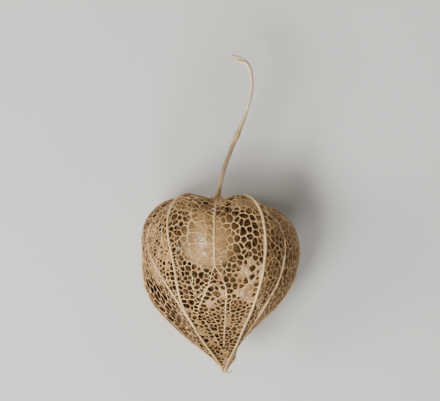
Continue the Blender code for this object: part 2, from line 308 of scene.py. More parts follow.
def settle(piece, slotName, *nodes):
    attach(piece, "root")
    if nodes:
        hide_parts(*nodes)


def sweep(name, stations, sides, shape=None):
    # a closed tube through stations of (centre, radius), rounder or ridged by shape(angle, along)
    bm = bmesh.new()
    rings = []
    side = Vector((0, 0, 1))
    count = len(stations)
    for k, (centre, radius) in enumerate(stations):
        ahead = (stations[min(k + 1, count - 1)][0] - stations[max(k - 1, 0)][0]).normalized()
        side = (side - ahead * side.dot(ahead)).normalized()
        up = ahead.cross(side)
        ring = []
        for j in range(sides):
            angle = math.tau * j / sides
            reach = radius * (shape(angle, k / (count - 1)) if shape else 1.0)
            ring.append(bm.verts.new(centre + (side * math.cos(angle) + up * math.sin(angle)) * reach))
        rings.append(ring)
    for low, high in zip(rings, rings[1:]):
        for j in range(sides):
            bm.faces.new((low[j], low[(j + 1) % sides], high[(j + 1) % sides], high[j]))
    for ring, centre in ((rings[0], stations[0][0]), (rings[-1], stations[-1][0])):
        cap = bm.verts.new(centre)
        for j in range(sides):
            bm.faces.new((ring[j], ring[(j + 1) % sides], cap))
    bmesh.ops.recalc_face_normals(bm, faces=bm.faces)
    return objectFrom(bm, name)


def strand(name, points, radius, taper, count, sides):
    # a thin tapering strand through points, in mm round the collar
    last = len(points) - 1
    stations = []
    for k in range(count + 1):
        centre = collar + Vector(curveThrough(points, last * k / count)) * mm
        stations.append((centre, radius * mm * (1 - taper * k / count)))
    return sweep(name, stations, sides)


def joinPieces(name, pieces):
    bm = bmesh.new()
    for piece in pieces:
        bm.from_mesh(piece.data)
        bpy.data.objects.remove(piece, do_unlink=True)
    return objectFrom(bm, name)


# Materials
class Finish:
    # a Principled material whose colour, roughness and relief come from nodes
    def __init__(self, name, **fixed):
        self.material = bpy.data.materials.new(name)
        self.material.use_nodes = True
        self.nodes = self.material.node_tree.nodes
        self.links = self.material.node_tree.links
        self.shader = self.nodes["Principled BSDF"]
        for socket, value in fixed.items():
            self.shader.inputs[socket.replace("_", " ")].default_value = value
        self.where = self.nodes.new("ShaderNodeTexCoord").outputs["Object"]

    def noise(self, size, detail=3.0, stretch=(1, 1, 1), distortion=0.0):
        # size is the width of one patch in mm
        mapping = self.nodes.new("ShaderNodeMapping")
        mapping.inputs["Scale"].default_value = [1 / (size * mm * s) for s in stretch]
        texture = self.nodes.new("ShaderNodeTexNoise")
        texture.inputs["Scale"].default_value = 1.0
        texture.inputs["Detail"].default_value = detail
        texture.inputs["Distortion"].default_value = distortion
        self.links.new(self.where, mapping.inputs["Vector"])
        self.links.new(mapping.outputs["Vector"], texture.inputs["Vector"])
        return texture.outputs["Fac"]

    def split(self, axis):
        node = self.nodes.new("ShaderNodeSeparateXYZ")
        self.links.new(self.where, node.inputs["Vector"])
        return node.outputs[axis]

    def near(self, place, full, none, share=1.0):
        # share within full mm of a place, 0 beyond none mm
        node = self.nodes.new("ShaderNodeVectorMath")
        node.operation = "DISTANCE"
        self.links.new(self.where, node.inputs[0])
        node.inputs[1].default_value = place
        return self.between(node.outputs["Value"], share, 0.0, full * mm, none * mm)

    def stored(self, name):
        # a value that the piece's own points carry
        node = self.nodes.new("ShaderNodeAttribute")
        node.attribute_name = name
        return node.outputs["Fac"]

    def ramp(self, factor, stops):
        node = self.nodes.new("ShaderNodeValToRGB")
        elements = node.color_ramp.elements
        while len(elements) < len(stops):
            elements.new(0.5)
        for element, (place, colour) in zip(elements, stops):
            element.position = place
            element.color = (*colour, 1.0)
        self.links.new(factor, node.inputs["Fac"])
        return node.outputs["Color"]

    def mix(self, factor, a, b):
        node = self.nodes.new("ShaderNodeMix")
        node.data_type = "RGBA"
        for socket, value in ((node.inputs[0], factor), (node.inputs[6], a), (node.inputs[7], b)):
            if isinstance(value, bpy.types.NodeSocket):
                self.links.new(value, socket)
            elif isinstance(value, tuple):
                socket.default_value = (*value, 1.0)
            else:
                socket.default_value = value
        return node.outputs[2]

    def between(self, factor, low, high, fromLow=0.3, fromHigh=0.7):
        node = self.nodes.new("ShaderNodeMapRange")
        node.inputs["From Min"].default_value = fromLow
        node.inputs["From Max"].default_value = fromHigh
        node.inputs["To Min"].default_value = low
        node.inputs["To Max"].default_value = high
        self.links.new(factor, node.inputs["Value"])
        return node.outputs["Result"]

    def tint(self, base, colour, factor, most, low, high):
        # none of the colour where factor is low, and most of it where it is high
        return self.mix(self.between(factor, 0.0, most, low, high), base, colour)

    def relief(self, *layers):
        # layers of (height socket, depth in mm)
        normal = None
        for height, depth in layers:
            node = self.nodes.new("ShaderNodeBump")
            node.inputs["Distance"].default_value = depth * mm
            self.links.new(height, node.inputs["Height"])
            if normal is not None:
                self.links.new(normal, node.inputs["Normal"])
            normal = node.outputs["Normal"]
        self.links.new(normal, self.shader.inputs["Normal"])

    def colour(self, socket):
        self.links.new(socket, self.shader.inputs["Base Color"])

    def rough(self, socket):
        self.links.new(socket, self.shader.inputs["Roughness"])


finishValues = {
    # bright, plain and stained colour of each kind of vein
    "ribCream": ((0.88, 0.65, 0.36), (0.62, 0.39, 0.17), (0.46, 0.23, 0.07)),
    "netStraw": ((0.70, 0.445, 0.20), (0.34, 0.185, 0.068), (0.30, 0.13, 0.04)),
    # painted shade: the colours of the heel's core, which stands for the shade between its two strands
    "heelShadeBrown": ((0.46, 0.24, 0.08), (0.30, 0.14, 0.05), (0.22, 0.09, 0.03)),
    "dimShare": 0.62,         # of the plain colour, in dull areas
    "spotShare": 0.5,         # of the plain colour, in small dark spots
    "dullFrom": -27,          # mm along the axis, where the husk starts to be duller towards the tip
    "dullBy": -38,
    "shadedSideFrom": 10,          # mm to the right, where its net starts to be darkened as painted shade, on the side away from the lights
    "shadedSideBy": 15,
    # on the upper side: x, y and reach in mm from the collar, and the strength
    "paleAreas": [(7.5, -7.0, 8.0, 0.70), (8.5, -17.0, 5.0, 0.35), (1.5, -24.0, 5.0, 0.25)],
    "brownAreas": [(-11.0, -1.0, 7.5, 0.75), (-16.5, -12.0, 6.0, 0.45), (0.5, -38.5, 9.5, 0.65)],
    "areaCore": 0.4,          # of its reach, where an area is at full strength
    "orangeStains": [(17.6, -11.0), (-7.8, -33.1)],
    "orange": (0.74, 0.34, 0.11),
    "stainFull": 0.5,         # mm
    "stainReach": 1.5,
    # the film by its tone, and what is over it
    "filmTones": [
        (0.00, (0.060, 0.036, 0.014)), (0.25, (0.18, 0.115, 0.042)), (0.45, (0.36, 0.225, 0.080)),
        (0.65, (0.52, 0.31, 0.115)), (0.85, (0.58, 0.36, 0.19)), (1.00, (0.78, 0.56, 0.35)),
    ],
    "filmStreak": (0.30, 0.17, 0.07),
    "filmStain": (0.44, 0.20, 0.08),
    "filmSpeck": (0.20, 0.12, 0.05),
    "filmThrough": 0.15,      # share of light that comes through it
    "berryTones": [(0.34, (0.78, 0.51, 0.215)), (0.52, (0.68, 0.42, 0.165)), (0.70, (0.54, 0.31, 0.10))],
    "berryMottle": (0.84, 0.59, 0.31),
    "berryPore": (0.42, 0.25, 0.10),
    "berryScarShade": (0.10, 0.055, 0.022),
    "scarShadeFull": 5.0,          # mm from the collar
    "scarShadeReach": 7.4,
    # the stalk by its length, brown towards the husk and cream past the joint
    "stalkTones": [
        (0.00, (0.62, 0.43, 0.21)), (0.09, (0.62, 0.45, 0.26)), (0.20, (0.28, 0.185, 0.105)),
        (0.36, (0.29, 0.19, 0.105)), (0.41, (0.54, 0.38, 0.15)), (0.46, (0.50, 0.34, 0.17)),
        (0.62, (0.82, 0.67, 0.45)), (0.92, (0.80, 0.64, 0.40)),
    ],
    "stalkEnd": 38,           # mm past the collar
    "stalkStreak": (0.28, 0.17, 0.075),
    "stalkSpeck": (0.44, 0.29, 0.15),
}


def areasAt(areas):
    # (x, y) in mm from the collar on the upper side, and what else is said of each
    return [(skin.point(*skin.onFront(x, y)), *rest) for x, y, *rest in areas]


orangeStains = areasAt(finishValues["orangeStains"])
paleAreas = areasAt(finishValues["paleAreas"])
brownAreas = areasAt(finishValues["brownAreas"])


def veinFinish(name, byBoldness):
    v = finishValues
    bright, plain, stain = v[name]
    dim = tuple(c * v["dimShare"] for c in plain)
    dark = tuple(c * v["spotShare"] for c in plain)
    finish = Finish(name, Specular_IOR_Level=0.35)
    broad = finish.noise(7.0, 2.0)
    fine = finish.noise(0.9, 4.0)
    fibre = finish.noise(0.16, 2.0, stretch=(1, 6, 1))
    pale = finish.stored("boldness") if byBoldness else finish.between(fibre, 0.45, 1.0)
    look = finish.mix(pale, plain, bright)
    look = finish.tint(look, dim, broad, 0.55, 0.40, 0.68)
    look = finish.tint(look, stain, finish.noise(4.5, 1.0), 0.75, 0.60, 0.72)
    look = finish.tint(look, dark, fine, 0.6, 0.52, 0.74)
    dullest = 0.8 if byBoldness else 0.6
    look = finish.tint(
        look, dim, finish.split("Y"), dullest, collar.y + v["dullFrom"] * mm, collar.y + v["dullBy"] * mm)
    if byBoldness:
        # painted shade: the net darkens towards the right, the side away from the lights
        look = finish.tint(
            look, dim, finish.split("X"), 0.5, collar.x + v["shadedSideFrom"] * mm, collar.x + v["shadedSideBy"] * mm)
        for areas, colour in ((paleAreas, bright), (brownAreas, dim)):
            for place, reach, share in areas:
                look = finish.mix(finish.near(place, reach * v["areaCore"], reach, share), look, colour)
    for place, in orangeStains:
        look = finish.mix(finish.near(place, v["stainFull"], v["stainReach"]), look, v["orange"])
    finish.colour(finish.mix(finish.between(fibre, 0.0, 0.2), look, bright))
    finish.rough(finish.between(fine, 0.42, 0.66))
    finish.relief((fibre, 0.05), (fine, 0.08))
    return finish.material


def filmFinish():
    v = finishValues
    finish = Finish("paperFilm", Specular_IOR_Level=0.3)
    fine = finish.noise(0.6, 4.0)
    streaks = finish.noise(0.5, 3.0, stretch=(1, 5, 1))
    look = finish.ramp(finish.stored("tone"), v["filmTones"])
    look = finish.tint(look, v["filmStreak"], streaks, 0.45, 0.48, 0.70)
    look = finish.tint(look, v["filmStain"], finish.noise(3.0, 1.0), 0.7, 0.60, 0.72)
    look = finish.tint(look, v["filmSpeck"], fine, 0.6, 0.48, 0.72)
    finish.colour(look)
    finish.rough(finish.between(fine, 0.5, 0.75))
    finish.relief((streaks, 0.10), (fine, 0.10))
    translucent = finish.nodes.new("ShaderNodeBsdfTranslucent")
    finish.links.new(look, translucent.inputs["Color"])
    through = finish.nodes.new("ShaderNodeMixShader")
    through.inputs["Fac"].default_value = v["filmThrough"]
    finish.links.new(finish.shader.outputs["BSDF"], through.inputs[1])
    finish.links.new(translucent.outputs["BSDF"], through.inputs[2])
    finish.links.new(through.outputs["Shader"], finish.nodes["Material Output"].inputs["Surface"])
    return finish.material


def berryFinish():
    v = finishValues
    finish = Finish("driedBerry", Coat_Weight=1.0, Coat_Roughness=0.21, Specular_IOR_Level=0.5)
    broad = finish.noise(7.0, 2.0, distortion=0.4)
    mottle = finish.noise(1.6, 4.0)
    pores = finish.noise(0.28, 3.0)
    look = finish.ramp(broad, v["berryTones"])
    look = finish.tint(look, v["berryMottle"], mottle, 0.55, 0.45, 0.72)
    look = finish.tint(look, v["berryPore"], pores, 0.35, 0.55, 0.75)
    # a dark scar round the place where it hangs from the stalk, partly real and partly painted shade under
    # the husk's collar
    finish.colour(finish.mix(finish.near(collar, v["scarShadeFull"], v["scarShadeReach"]), look, v["berryScarShade"]))
    finish.rough(finish.between(mottle, 0.24, 0.40))
    finish.relief((pores, 0.04), (mottle, 0.10))
    return finish.material


def stalkFinish():
    v = finishValues
    finish = Finish("driedStalk", Specular_IOR_Level=0.35)
    along = finish.between(finish.split("Y"), 0.0, 1.0, collar.y, collar.y + v["stalkEnd"] * mm)
    look = finish.ramp(along, v["stalkTones"])
    streaks = finish.noise(0.35, 3.0, stretch=(1, 9, 1))
    fine = finish.noise(0.8, 4.0)
    look = finish.tint(look, v["stalkStreak"], streaks, 0.5, 0.45, 0.70)
    look = finish.tint(look, v["stalkSpeck"], fine, 0.35, 0.5, 0.7)
    finish.colour(look)
    finish.rough(finish.between(fine, 0.42, 0.65))
    finish.relief((streaks, 0.08), (fine, 0.06))
    return finish.material


ribCream = veinFinish("ribCream", False)
netStraw = veinFinish("netStraw", True)
paperFilm = filmFinish()
driedBerry = berryFinish()
driedStalk = stalkFinish()
heelShadeBrown = veinFinish("heelShadeBrown", False)
print("finishes ready")


# The husk's fine net
netValues = {
    "cellSize": 1.42,         # usual width of a cell, mm
    "patchSize": 3.6,         # mm, width of a patch of cells with a bolder vein round it
    "finestShare": 0.62,      # of a cell's and a vein's usual width, on the axis
    "finestWithin": 9.0,      # mm from the axis, where they start to get finer
    "fineVein": 0.17,         # widths, mm
    "patchVein": 0.28,
    "sideVein": 0.36,
    "edgeVein": 0.46,         # where the net meets a rib
    "depthShare": 0.80,       # depth of a vein over its width
    "sideVeinSpacing": 6.0,   # mm along a main rib
    "sideVeinDrop": 1.9,      # outline steps that one runs down on its way to the next rib
    "sideVeinFrom": 1.2,      # outline steps, where they start and stop
    "sideVeinBy": 9.0,
    "sideVeinReach": 0.97,    # of the way to the next rib
    "crowding": 0.80,         # how near two seeds may stand, in cells
    "smallCrowding": 0.52,
    "besideRib": 0.5,         # the same for the pairs along ribs and along bolder veins
    "besideTraced": 0.6,
    "besideSideVein": 0.62,
    "tooShort": 0.22,         # mm, a shorter edge becomes a point
    "tightCell": 0.10,        # mm, a cell with a smaller opening is closed
    "mostInset": 0.75,        # of the way to a cell's middle that its veins may reach
    "boldRange": 0.9,         # how much wider than fine, as a share, the palest vein is
    "holeShare": 0.8,         # of a vein's boldness that its edge along an opening has
    "room": 14000,            # for seeds, and for those of the patches
    "patchRoom": 3000,
    "ribSteps": 72,           # along a rib, a traced vein and a side vein
    "tracedSteps": 24,
    "sideSteps": 12,
    "tracedTaper": 0.8,
    "draws": 30000,
    "smallDraws": 9000,       # for the clusters of small cells
    "clusters": 0.0,          # noise level over which there is one
    "patchDraws": 6000,
    "evening": 0.5,           # how far each seed moves to the middle of its cell
    "straightenings": 2,
    "pointAt": 11.3,          # outline steps, past which the ribs cover everything
    "seed": 11,
    # places with larger or smaller cells: x, y, mm from the collar, spreads in ribs and outline steps, factor
    "cellZones": [
        (8.0, -8.5, 0.35, 1.6, 1.45), (-15.2, -14.0, 0.6, 2.0, 0.74), (1.0, -33.0, 1.2, 1.5, 0.92),
        (-5.0, -10.5, 0.5, 1.6, 1.50), (3.0, -10.5, 0.35, 1.4, 1.20), (-17.4, -22.5, 0.5, 1.3, 1.7),
        (-13.4, -29.0, 0.5, 1.3, 1.6), (16.2, -12.0, 0.5, 2.0, 1.35), (15.8, -21.0, 0.4, 1.2, 1.35),
        (18.8, -14.0, 0.5, 2.0, 1.45),
    ],
    # the clearest open cells on the upper side: their middles, mm from the collar
    "openCells": {
        "rightOfBerry": [
            (4.6, -3.7), (4.8, -5.2), (6.6, -4.0), (8.0, -2.9), (10.0, -3.2),
            (9.0, -4.5), (5.9, -5.6), (7.3, -5.9), (4.3, -7.1), (9.5, -6.8), (8.0, -7.6), (6.3, -8.3),
            (5.2, -8.1), (8.0, -9.4), (6.6, -10.3), (9.7, -8.7), (7.7, -11.4), (6.0, -11.8),
            (9.4, -11.2), (10.8, -10.2), (6.7, -13.5), (7.8, -13.7), (9.3, -13.4), (10.7, -13.8),
            (5.8, -14.8), (5.5, -15.9),
        ],
        "leftOfBerry": [
            (-11.0, -3.2), (-9.6, -3.4), (-7.9, -3.5), (-11.3, -4.6), (-9.4, -4.6), (-8.0, -4.9),
            (-10.6, -6.2), (-9.5, -6.1), (-10.4, -7.2), (-12.8, -8.0), (-10.3, -8.4), (-12.5, -10.4),
            (-10.5, -10.0),
            (-12.1, -11.4), (-10.4, -11.5), (-11.2, -13.9), (-10.8, -15.6), (-9.6, -14.9), (-10.3, -16.9),
            (-9.1, -17.5), (-10.4, -19.5), (-8.0, -20.1), (-10.3, -21.2), (-9.1, -20.9),
        ],
        "leftLobe": [
            (-17.5, -10.8), (-17.2, -13.4), (-15.4, -10.5), (-14.9, -11.4), (-16.2, -15.8), (-15.4, -17.0),
            (-16.0, -14.0), (-17.2, -19.1), (-14.3, -18.4),
        ],
        "leftFlank": [
            (-18.1, -22.0), (-17.2, -23.3), (-16.0, -23.2), (-15.7, -22.1), (-14.5, -22.5), (-16.8, -25.2),
            (-15.8, -26.8), (-14.5, -26.7), (-14.4, -28.5), (-12.5, -27.4), (-12.8, -30.0), (-12.0, -31.0),
            (-10.8, -28.8), (-10.2, -31.1), (-10.4, -32.5), (-9.5, -33.5), (-8.3, -32.2), (-7.9, -34.6),
            (-6.9, -35.2),
        ],
        "rightLobe": [
            (13.4, -4.7), (13.3, -6.3), (14.6, -6.3), (14.4, -7.4), (14.9, -8.5), (15.8, -9.9),
            (16.2, -11.6), (15.3, -12.4), (14.4, -13.6), (17.7, -7.1), (18.6, -9.6), (19.4, -12.7),
            (18.5, -14.3), (20.0, -15.0), (17.0, -16.4), (18.2, -16.9), (17.5, -18.5), (19.4, -17.4),
            (18.4, -19.6), (19.3, -20.0), (18.8, -21.6), (13.9, -20.9), (12.9, -22.8), (12.4, -21.5),
            (15.8, -21.8), (14.6, -16.8),
        ],
        "underArches": [
            (-9.6, 0.4), (-7.8, 0.6), (-6.1, 0.4), (-13.8, -1.6), (6.6, 0.3), (8.3, 0.2), (5.2, 0.0),
        ],
    },
    # open cells by the collar, with dark film behind them: painted shade where the inside of the husk is in
    # shade
    "shadeFilmCells": [(0.8, -2.4), (1.0, -3.9), (2.8, -5.0), (-1.6, -2.0), (-3.4, -2.2)],
}
# veins that stand out on the upper side, as (x, y) in mm from the collar, and their width at the start
tracedVeins = {
    "leftOfFold": (0.40, [
        (-6.4, -2.2), (-6.8, -3.6), (-6.8, -5.1), (-7.4, -6.5), (-7.6, -8.3), (-7.6, -10.1), (-7.1, -12.4),
    ]),
    "besideFold": (0.34, [
        (-0.6, -2.5), (-2.0, -2.9), (-3.4, -3.7), (-3.3, -5.3), (-3.0, -7.0), (-3.1, -9.0), (-2.8, -10.8),
    ]),
    "upperRung": (0.32, [(-3.3, -5.3), (-5.4, -5.9), (-6.8, -5.3)]),
    "lowerRung": (0.32, [(-7.6, -8.3), (-6.4, -8.4), (-4.8, -8.5), (-3.1, -9.0)]),
    "forkRight": (0.42, [
        (-0.8, -16.9), (0.5, -18.6), (1.1, -19.9), (1.7, -21.3), (2.1, -23.6), (1.9, -27.3), (1.7, -32.5),
        (1.5, -37.7),
    ]),
    "forkLeft": (0.40, [(-0.8, -16.9), (-1.4, -18.3), (-2.3, -21.3), (-3.7, -24.5), (-5.0, -28.1)]),
    "arrow": (0.38, [
        (-4.9, -24.7), (-3.6, -23.3), (-3.0, -22.2), (-1.8, -21.6), (-1.1, -21.2), (-0.1, -22.1),
        (0.8, -23.0),
    ]),
    "lowLeft": (0.36, [(-7.1, -18.6), (-6.4, -19.9), (-6.4, -21.7), (-5.7, -23.9), (-4.9, -24.7)]),
    "besideRightFold": (0.36, [(15.5, -21.4), (12.9, -25.5), (10.2, -29.3)]),
    "besideLeftRib": (0.40, [(-14.1, -6.8), (-14.1, -9.0), (-13.9, -10.8), (-12.9, -12.9)]),
    "downLeft": (0.40, [(-10.5, -15.0), (-10.0, -16.2), (-9.5, -17.9), (-8.9, -19.9)]),
    "foldStrand": (0.30, [(-0.6, -13.2), (-1.2, -14.6), (-1.5, -15.9), (-1.3, -16.8), (-0.9, -17.2)]),
    "lowDiagonal": (0.36, [(-3.4, -30.7), (-1.4, -34.1), (0.1, -36.9), (1.0, -38.7)]),
}
frontFold = 4                 # the fold rib that faces up, and the outline step where it forks
forkAt = skin.onFront(*tracedVeins["forkRight"][1][0])[1]
cellZones = [(*skin.onFront(x, y), *spreads) for x, y, *spreads in netValues["cellZones"]]


class SeedField:
    # the middles of the net's cells in the plane; a pair of seeds has a vein running between the two
    def __init__(self, room):
        self.xy = np.zeros((room, 2))
        self.count = 0
        self.partner = []
        self.vein = []
        self.fixed = []
        self.open = set()
        self.dark = set()

    def away(self, x, y):
        apart = self.xy[:self.count] - (x, y)
        apart[:, 0] -= np.round(apart[:, 0] / math.tau) * math.tau
        return (apart**2).sum(1)

    def gap(self, x, y):
        return math.sqrt(self.away(x, y).min()) if self.count else 99.0

    def nearest(self, x, y):
        return int(self.away(x, y).argmin())

    def add(self, x, y, partner=-1, vein=0.0, fixed=False):
        self.xy[self.count] = (x, y)
        self.partner.append(partner)
        self.vein.append(vein)
        self.fixed.append(fixed)
        self.count += 1

    def addVein(self, path, widths, crowding):
        # path in the plane; pairs of seeds stand on both its sides
        lengths = [0.0]
        for a, b in zip(path, path[1:]):
            lengths.append(lengths[-1] + math.dist(a, b))

        def along(reach):
            return Vector([lookUp(lengths, [p[axis] for p in path], reach) for axis in (0, 1)])

        reach = 0.0
        while reach < lengths[-1]:
            behind = along(reach)
            cell = cellAt(*behind)
            reach += cell * 0.5
            here = along(min(reach, lengths[-1]))
            if (here - behind).length < 1e-9:
                break
            side = (here - behind).normalized().orthogonal() * cell * 0.5
            left, right = here + side, here - side
            clear = min(self.gap(*left), self.gap(*right)) > crowding * cell
            if clear and 0.0 < here.y < skin.stretch[-1]:
                width = widths[0] + (widths[1] - widths[0]) * min(1.0, reach / lengths[-1])
                self.add(*left, self.count + 1, width, True)
                self.add(*right, self.count - 1, width, True)
            reach += cell * 0.5

    def scatter(self, draws, crowding, rng, clusters=None):
        # free seeds, evenly over the skin, or only where a broad noise is over clusters
        widest = max(skin.radius)
        for _ in range(draws):
            y = lookUp(skin.arc, skin.stretch, rng.uniform(0, skin.arc[-1]))
            x = rng.uniform(0, math.tau) + skin.bearing(0, 0)
            if rng.uniform(0, widest) > skin.radiusAt(y) + 2.0:
                continue
            spot = Vector((math.cos(x) * 3, math.sin(x) * 3, y * 3))
            if clusters is not None and noise.noise(spot) < clusters:
                continue
            if self.gap(x, y) > crowding * cellAt(x, y):
                self.add(x, y)


def fineness(y):
    # cells and veins are finest at the husk's two ends
    finest = netValues["finestShare"]
    return finest + (1 - finest) * min(1.0, skin.radiusAt(y) / netValues["finestWithin"])


def cellAt(x, y):
    # the width of a cell there, in the plane
    turn, t = skin.fromPlane(x, y)
    size = netValues["cellSize"] * fineness(y)
    for zoneTurn, zoneT, turnSpread, tSpread, factor in cellZones:
        away = ((turn - zoneTurn) / turnSpread) ** 2 + ((t - zoneT) / tSpread) ** 2
        size *= 1 + (factor - 1) * math.exp(-away)
    return size / skin.radiusAt(y)


def plantSeeds(rng):
    v = netValues
    found = SeedField(v["room"])
    for rib in range(skin.ribCount):
        stop = forkAt if rib == frontFold else skin.end
        path = [skin.toPlane(rib, stop * k / v["ribSteps"]) for k in range(v["ribSteps"] + 1)]
        found.addVein(path, (v["edgeVein"], v["edgeVein"]), v["besideRib"])
    for width, points in tracedVeins.values():
        placed = [skin.toPlane(*skin.onFront(x, y)) for x, y in points]
        count = v["tracedSteps"]
        dense = [curveThrough(placed, (len(placed) - 1) * k / count) for k in range(count + 1)]
        found.addVein(dense, (width, width * v["tracedTaper"]), v["besideTraced"])
    for kind, cells in ((found.open, sum(v["openCells"].values(), [])), (found.dark, v["shadeFilmCells"])):
        for x, y in cells:
            kind.add(found.count)
            found.add(*skin.toPlane(*skin.onFront(x, y)), fixed=True)
    for rib in range(1, skin.ribCount, 2):
        for way in (-1, 1):
            t = v["sideVeinFrom"] + rng.uniform(0, 1)
            while t < v["sideVeinBy"]:
                slim = lookUp(skin.t, skin.radius, t) / max(skin.radius)
                drop = v["sideVeinDrop"] * slim * rng.uniform(0.7, 1.3)
                bend = rng.uniform(-0.3, 0.3) * slim
                path = []
                for k in range(v["sideSteps"] + 1):
                    u = k / v["sideSteps"] * v["sideVeinReach"]
                    down = t + drop * u**1.2 + bend * math.sin(math.tau * u)
                    path.append(skin.toPlane(rib + way * u, min(down, skin.last)))
                found.addVein(path, (v["sideVein"], v["patchVein"]), v["besideSideVein"])
                t += v["sideVeinSpacing"] / skin.arc[-1] * skin.end * rng.uniform(0.75, 1.25)
    found.scatter(v["draws"], v["crowding"], rng)
    found.scatter(v["smallDraws"], v["smallCrowding"], rng, v["clusters"])
    return found


def circleCentre(a, b, c):
    p, q = b - a, c - a
    cross = 2 * (p.x * q.y - p.y * q.x)
    x = (q.y * p.length_squared - p.y * q.length_squared) / cross
    y = (p.x * q.length_squared - q.x * p.length_squared) / cross
    return a + Vector((x, y))


def turnedBack(angle):
    # to within half a turn of 0
    return angle - round(angle / math.tau) * math.tau


class VeinNet:
    # the cells round the seeds: their corners in the plane, and each cell's ring of corners
    lapMargin = 0.8           # of the plane that is repeated past each of its edges
    topMargin = 0.5
    endMargin = 1.0

    def __init__(self, seeds):
        start, end = skin.bearing(0, 0), skin.stretch[-1]
        plane, owner = [], []
        for k in range(seeds.count):
            x, y = seeds.xy[k]
            x = start + (x - start) % math.tau
            for lap in (-math.tau, 0, math.tau):
                if not start - self.lapMargin < x + lap < start + math.tau + self.lapMargin:
                    continue
                for mirror, across in enumerate((y, -y, 2 * end - y)):
                    if -self.topMargin < across < end + self.endMargin:
                        plane.append(Vector((x + lap, across)))
                        owner.append((k, mirror, lap == 0 and mirror == 0))
        points, _, triangles, origins, _, _ = delaunay_2d_cdt(plane, [], [], 0, 1e-9, True)
        owners = [owner[o[0]] for o in origins]
        self.corners, self.seedsAt = [], []
        index, around = {}, {}
        for triangle in triangles:
            key = tuple(sorted(owners[k][:2] for k in triangle))
            centre = circleCentre(*(points[k] for k in triangle))
            for k in triangle:
                if not owners[k][2]:
                    continue
                if key not in index:
                    index[key] = len(self.corners)
                    self.corners.append([centre.x, min(max(centre.y, 0.0), end)])
                    self.seedsAt.append({seed for seed, _ in key})
                away = centre - points[k]
                around.setdefault(owners[k][0], []).append((-math.atan2(away.y, away.x), index[key]))
        self.rings = {k: [i for _, i in sorted(ring)] for k, ring in around.items()}

    def middle(self, k):
        # of a cell, near its seed's own lap
        x0 = self.corners[self.rings[k][0]][0]
        apart = [turnedBack(self.corners[i][0] - x0) for i in self.rings[k]]
        count = len(apart)
        return x0 + sum(apart) / count, sum(self.corners[i][1] for i in self.rings[k]) / count

    def edges(self):
        # (seed, corner, next corner, seed across)
        for k, ring in self.rings.items():
            for i, j in zip(ring, ring[1:] + ring[:1]):
                across = (self.seedsAt[i] & self.seedsAt[j]) - {k}
                yield k, i, j, min(across) if across else k

    def setWidths(self, seeds, patches):
        self.widths = {}
        v = netValues
        for k, i, j, other in self.edges():
            slim = fineness(self.corners[i][1])
            if seeds.partner[k] == other:
                width = seeds.vein[k]
            elif patches[k] != patches[other]:
                width = v["patchVein"] * slim
            else:
                width = v["fineVein"] * slim
            self.widths[min(i, j), max(i, j)] = width

    def straighten(self, seeds):
        # a bolder vein runs straighter than its cells' own edges
        bold = {}
        for (i, j), width in self.widths.items():
            if width > netValues["fineVein"] * 1.05:
                bold.setdefault(i, []).append(j)
                bold.setdefault(j, []).append(i)
        loose = [i for i, ends in bold.items() if len(ends) == 2]
        for _ in range(netValues["straightenings"]):
            moved = {}
            for i in loose:
                x, y = self.corners[i]
                apart = [turnedBack(self.corners[j][0] - x) for j in bold[i]]
                moved[i] = [x + sum(apart) / 4, y + sum(self.corners[j][1] - y for j in bold[i]) / 4]
            for i, place in moved.items():
                self.corners[i] = place

    def raiseUp(self):
        # onto the husk; corners that stand too close together become one
        self.places = [skin.place(*skin.fromPlane(x, y)) for x, y in self.corners]
        same = list(range(len(self.corners)))

        def rootOf(i):
            while same[i] != i:
                i = same[i]
            return i

        for i, j in self.widths:
            if (self.places[i][0] - self.places[j][0]).length < netValues["tooShort"] * mm:
                same[rootOf(i)] = rootOf(j)
        joined = {}
        for (i, j), width in self.widths.items():
            i, j = rootOf(i), rootOf(j)
            key = min(i, j), max(i, j)
            joined[key] = max(width, joined.get(key, 0.0))
        self.widths = joined
        for k, ring in self.rings.items():
            ring = [rootOf(i) for i in ring]
            self.rings[k] = [i for n, i in enumerate(ring) if i != ring[n - 1]]

    def width(self, i, j):
        return self.widths[min(i, j), max(i, j)] * mm


def evenOut(seeds, net, step):
    # each free seed moves towards the middle of its cell
    for k in net.rings:
        if not seeds.fixed[k]:
            x, y = net.middle(k)
            seeds.xy[k] += (turnedBack(x - seeds.xy[k][0]) * step, (y - seeds.xy[k][1]) * step)


def openingOf(net, k):
    # the ring of points where the veins end round a cell's opening, and the cell's middle and direction out
    ring = net.rings[k]
    places = [net.places[i][0] for i in ring]
    out = sum((net.places[i][1] for i in ring), Vector()).normalized()
    middle = sum(places, Vector()) / len(ring)
    opening = []
    tight = False
    for n in range(len(ring)):
        a, b, c = ring[n - 1], ring[n], ring[(n + 1) % len(ring)]
        before = (net.places[b][0] - net.places[a][0]).normalized()
        after = (net.places[c][0] - net.places[b][0]).normalized()
        inA, inC = out.cross(before), out.cross(after)
        widthA, widthC = net.width(a, b) / 2, net.width(b, c) / 2
        tight = tight or inA.dot(middle - net.places[b][0]) - widthA < netValues["tightCell"] * mm
        together = inA.dot(inC)
        if together > 0.95:     # nearly in line
            inset = (inA + inC).normalized() * (widthA + widthC) / 2
        else:
            share = 1 - together**2
            inset = inA * (widthA - together * widthC) / share + inC * (widthC - together * widthA) / share
        room = (middle - net.places[b][0]).length * netValues["mostInset"]
        opening.append(net.places[b][0] + inset * min(1.0, room / inset.length))
    return opening, middle, out, tight


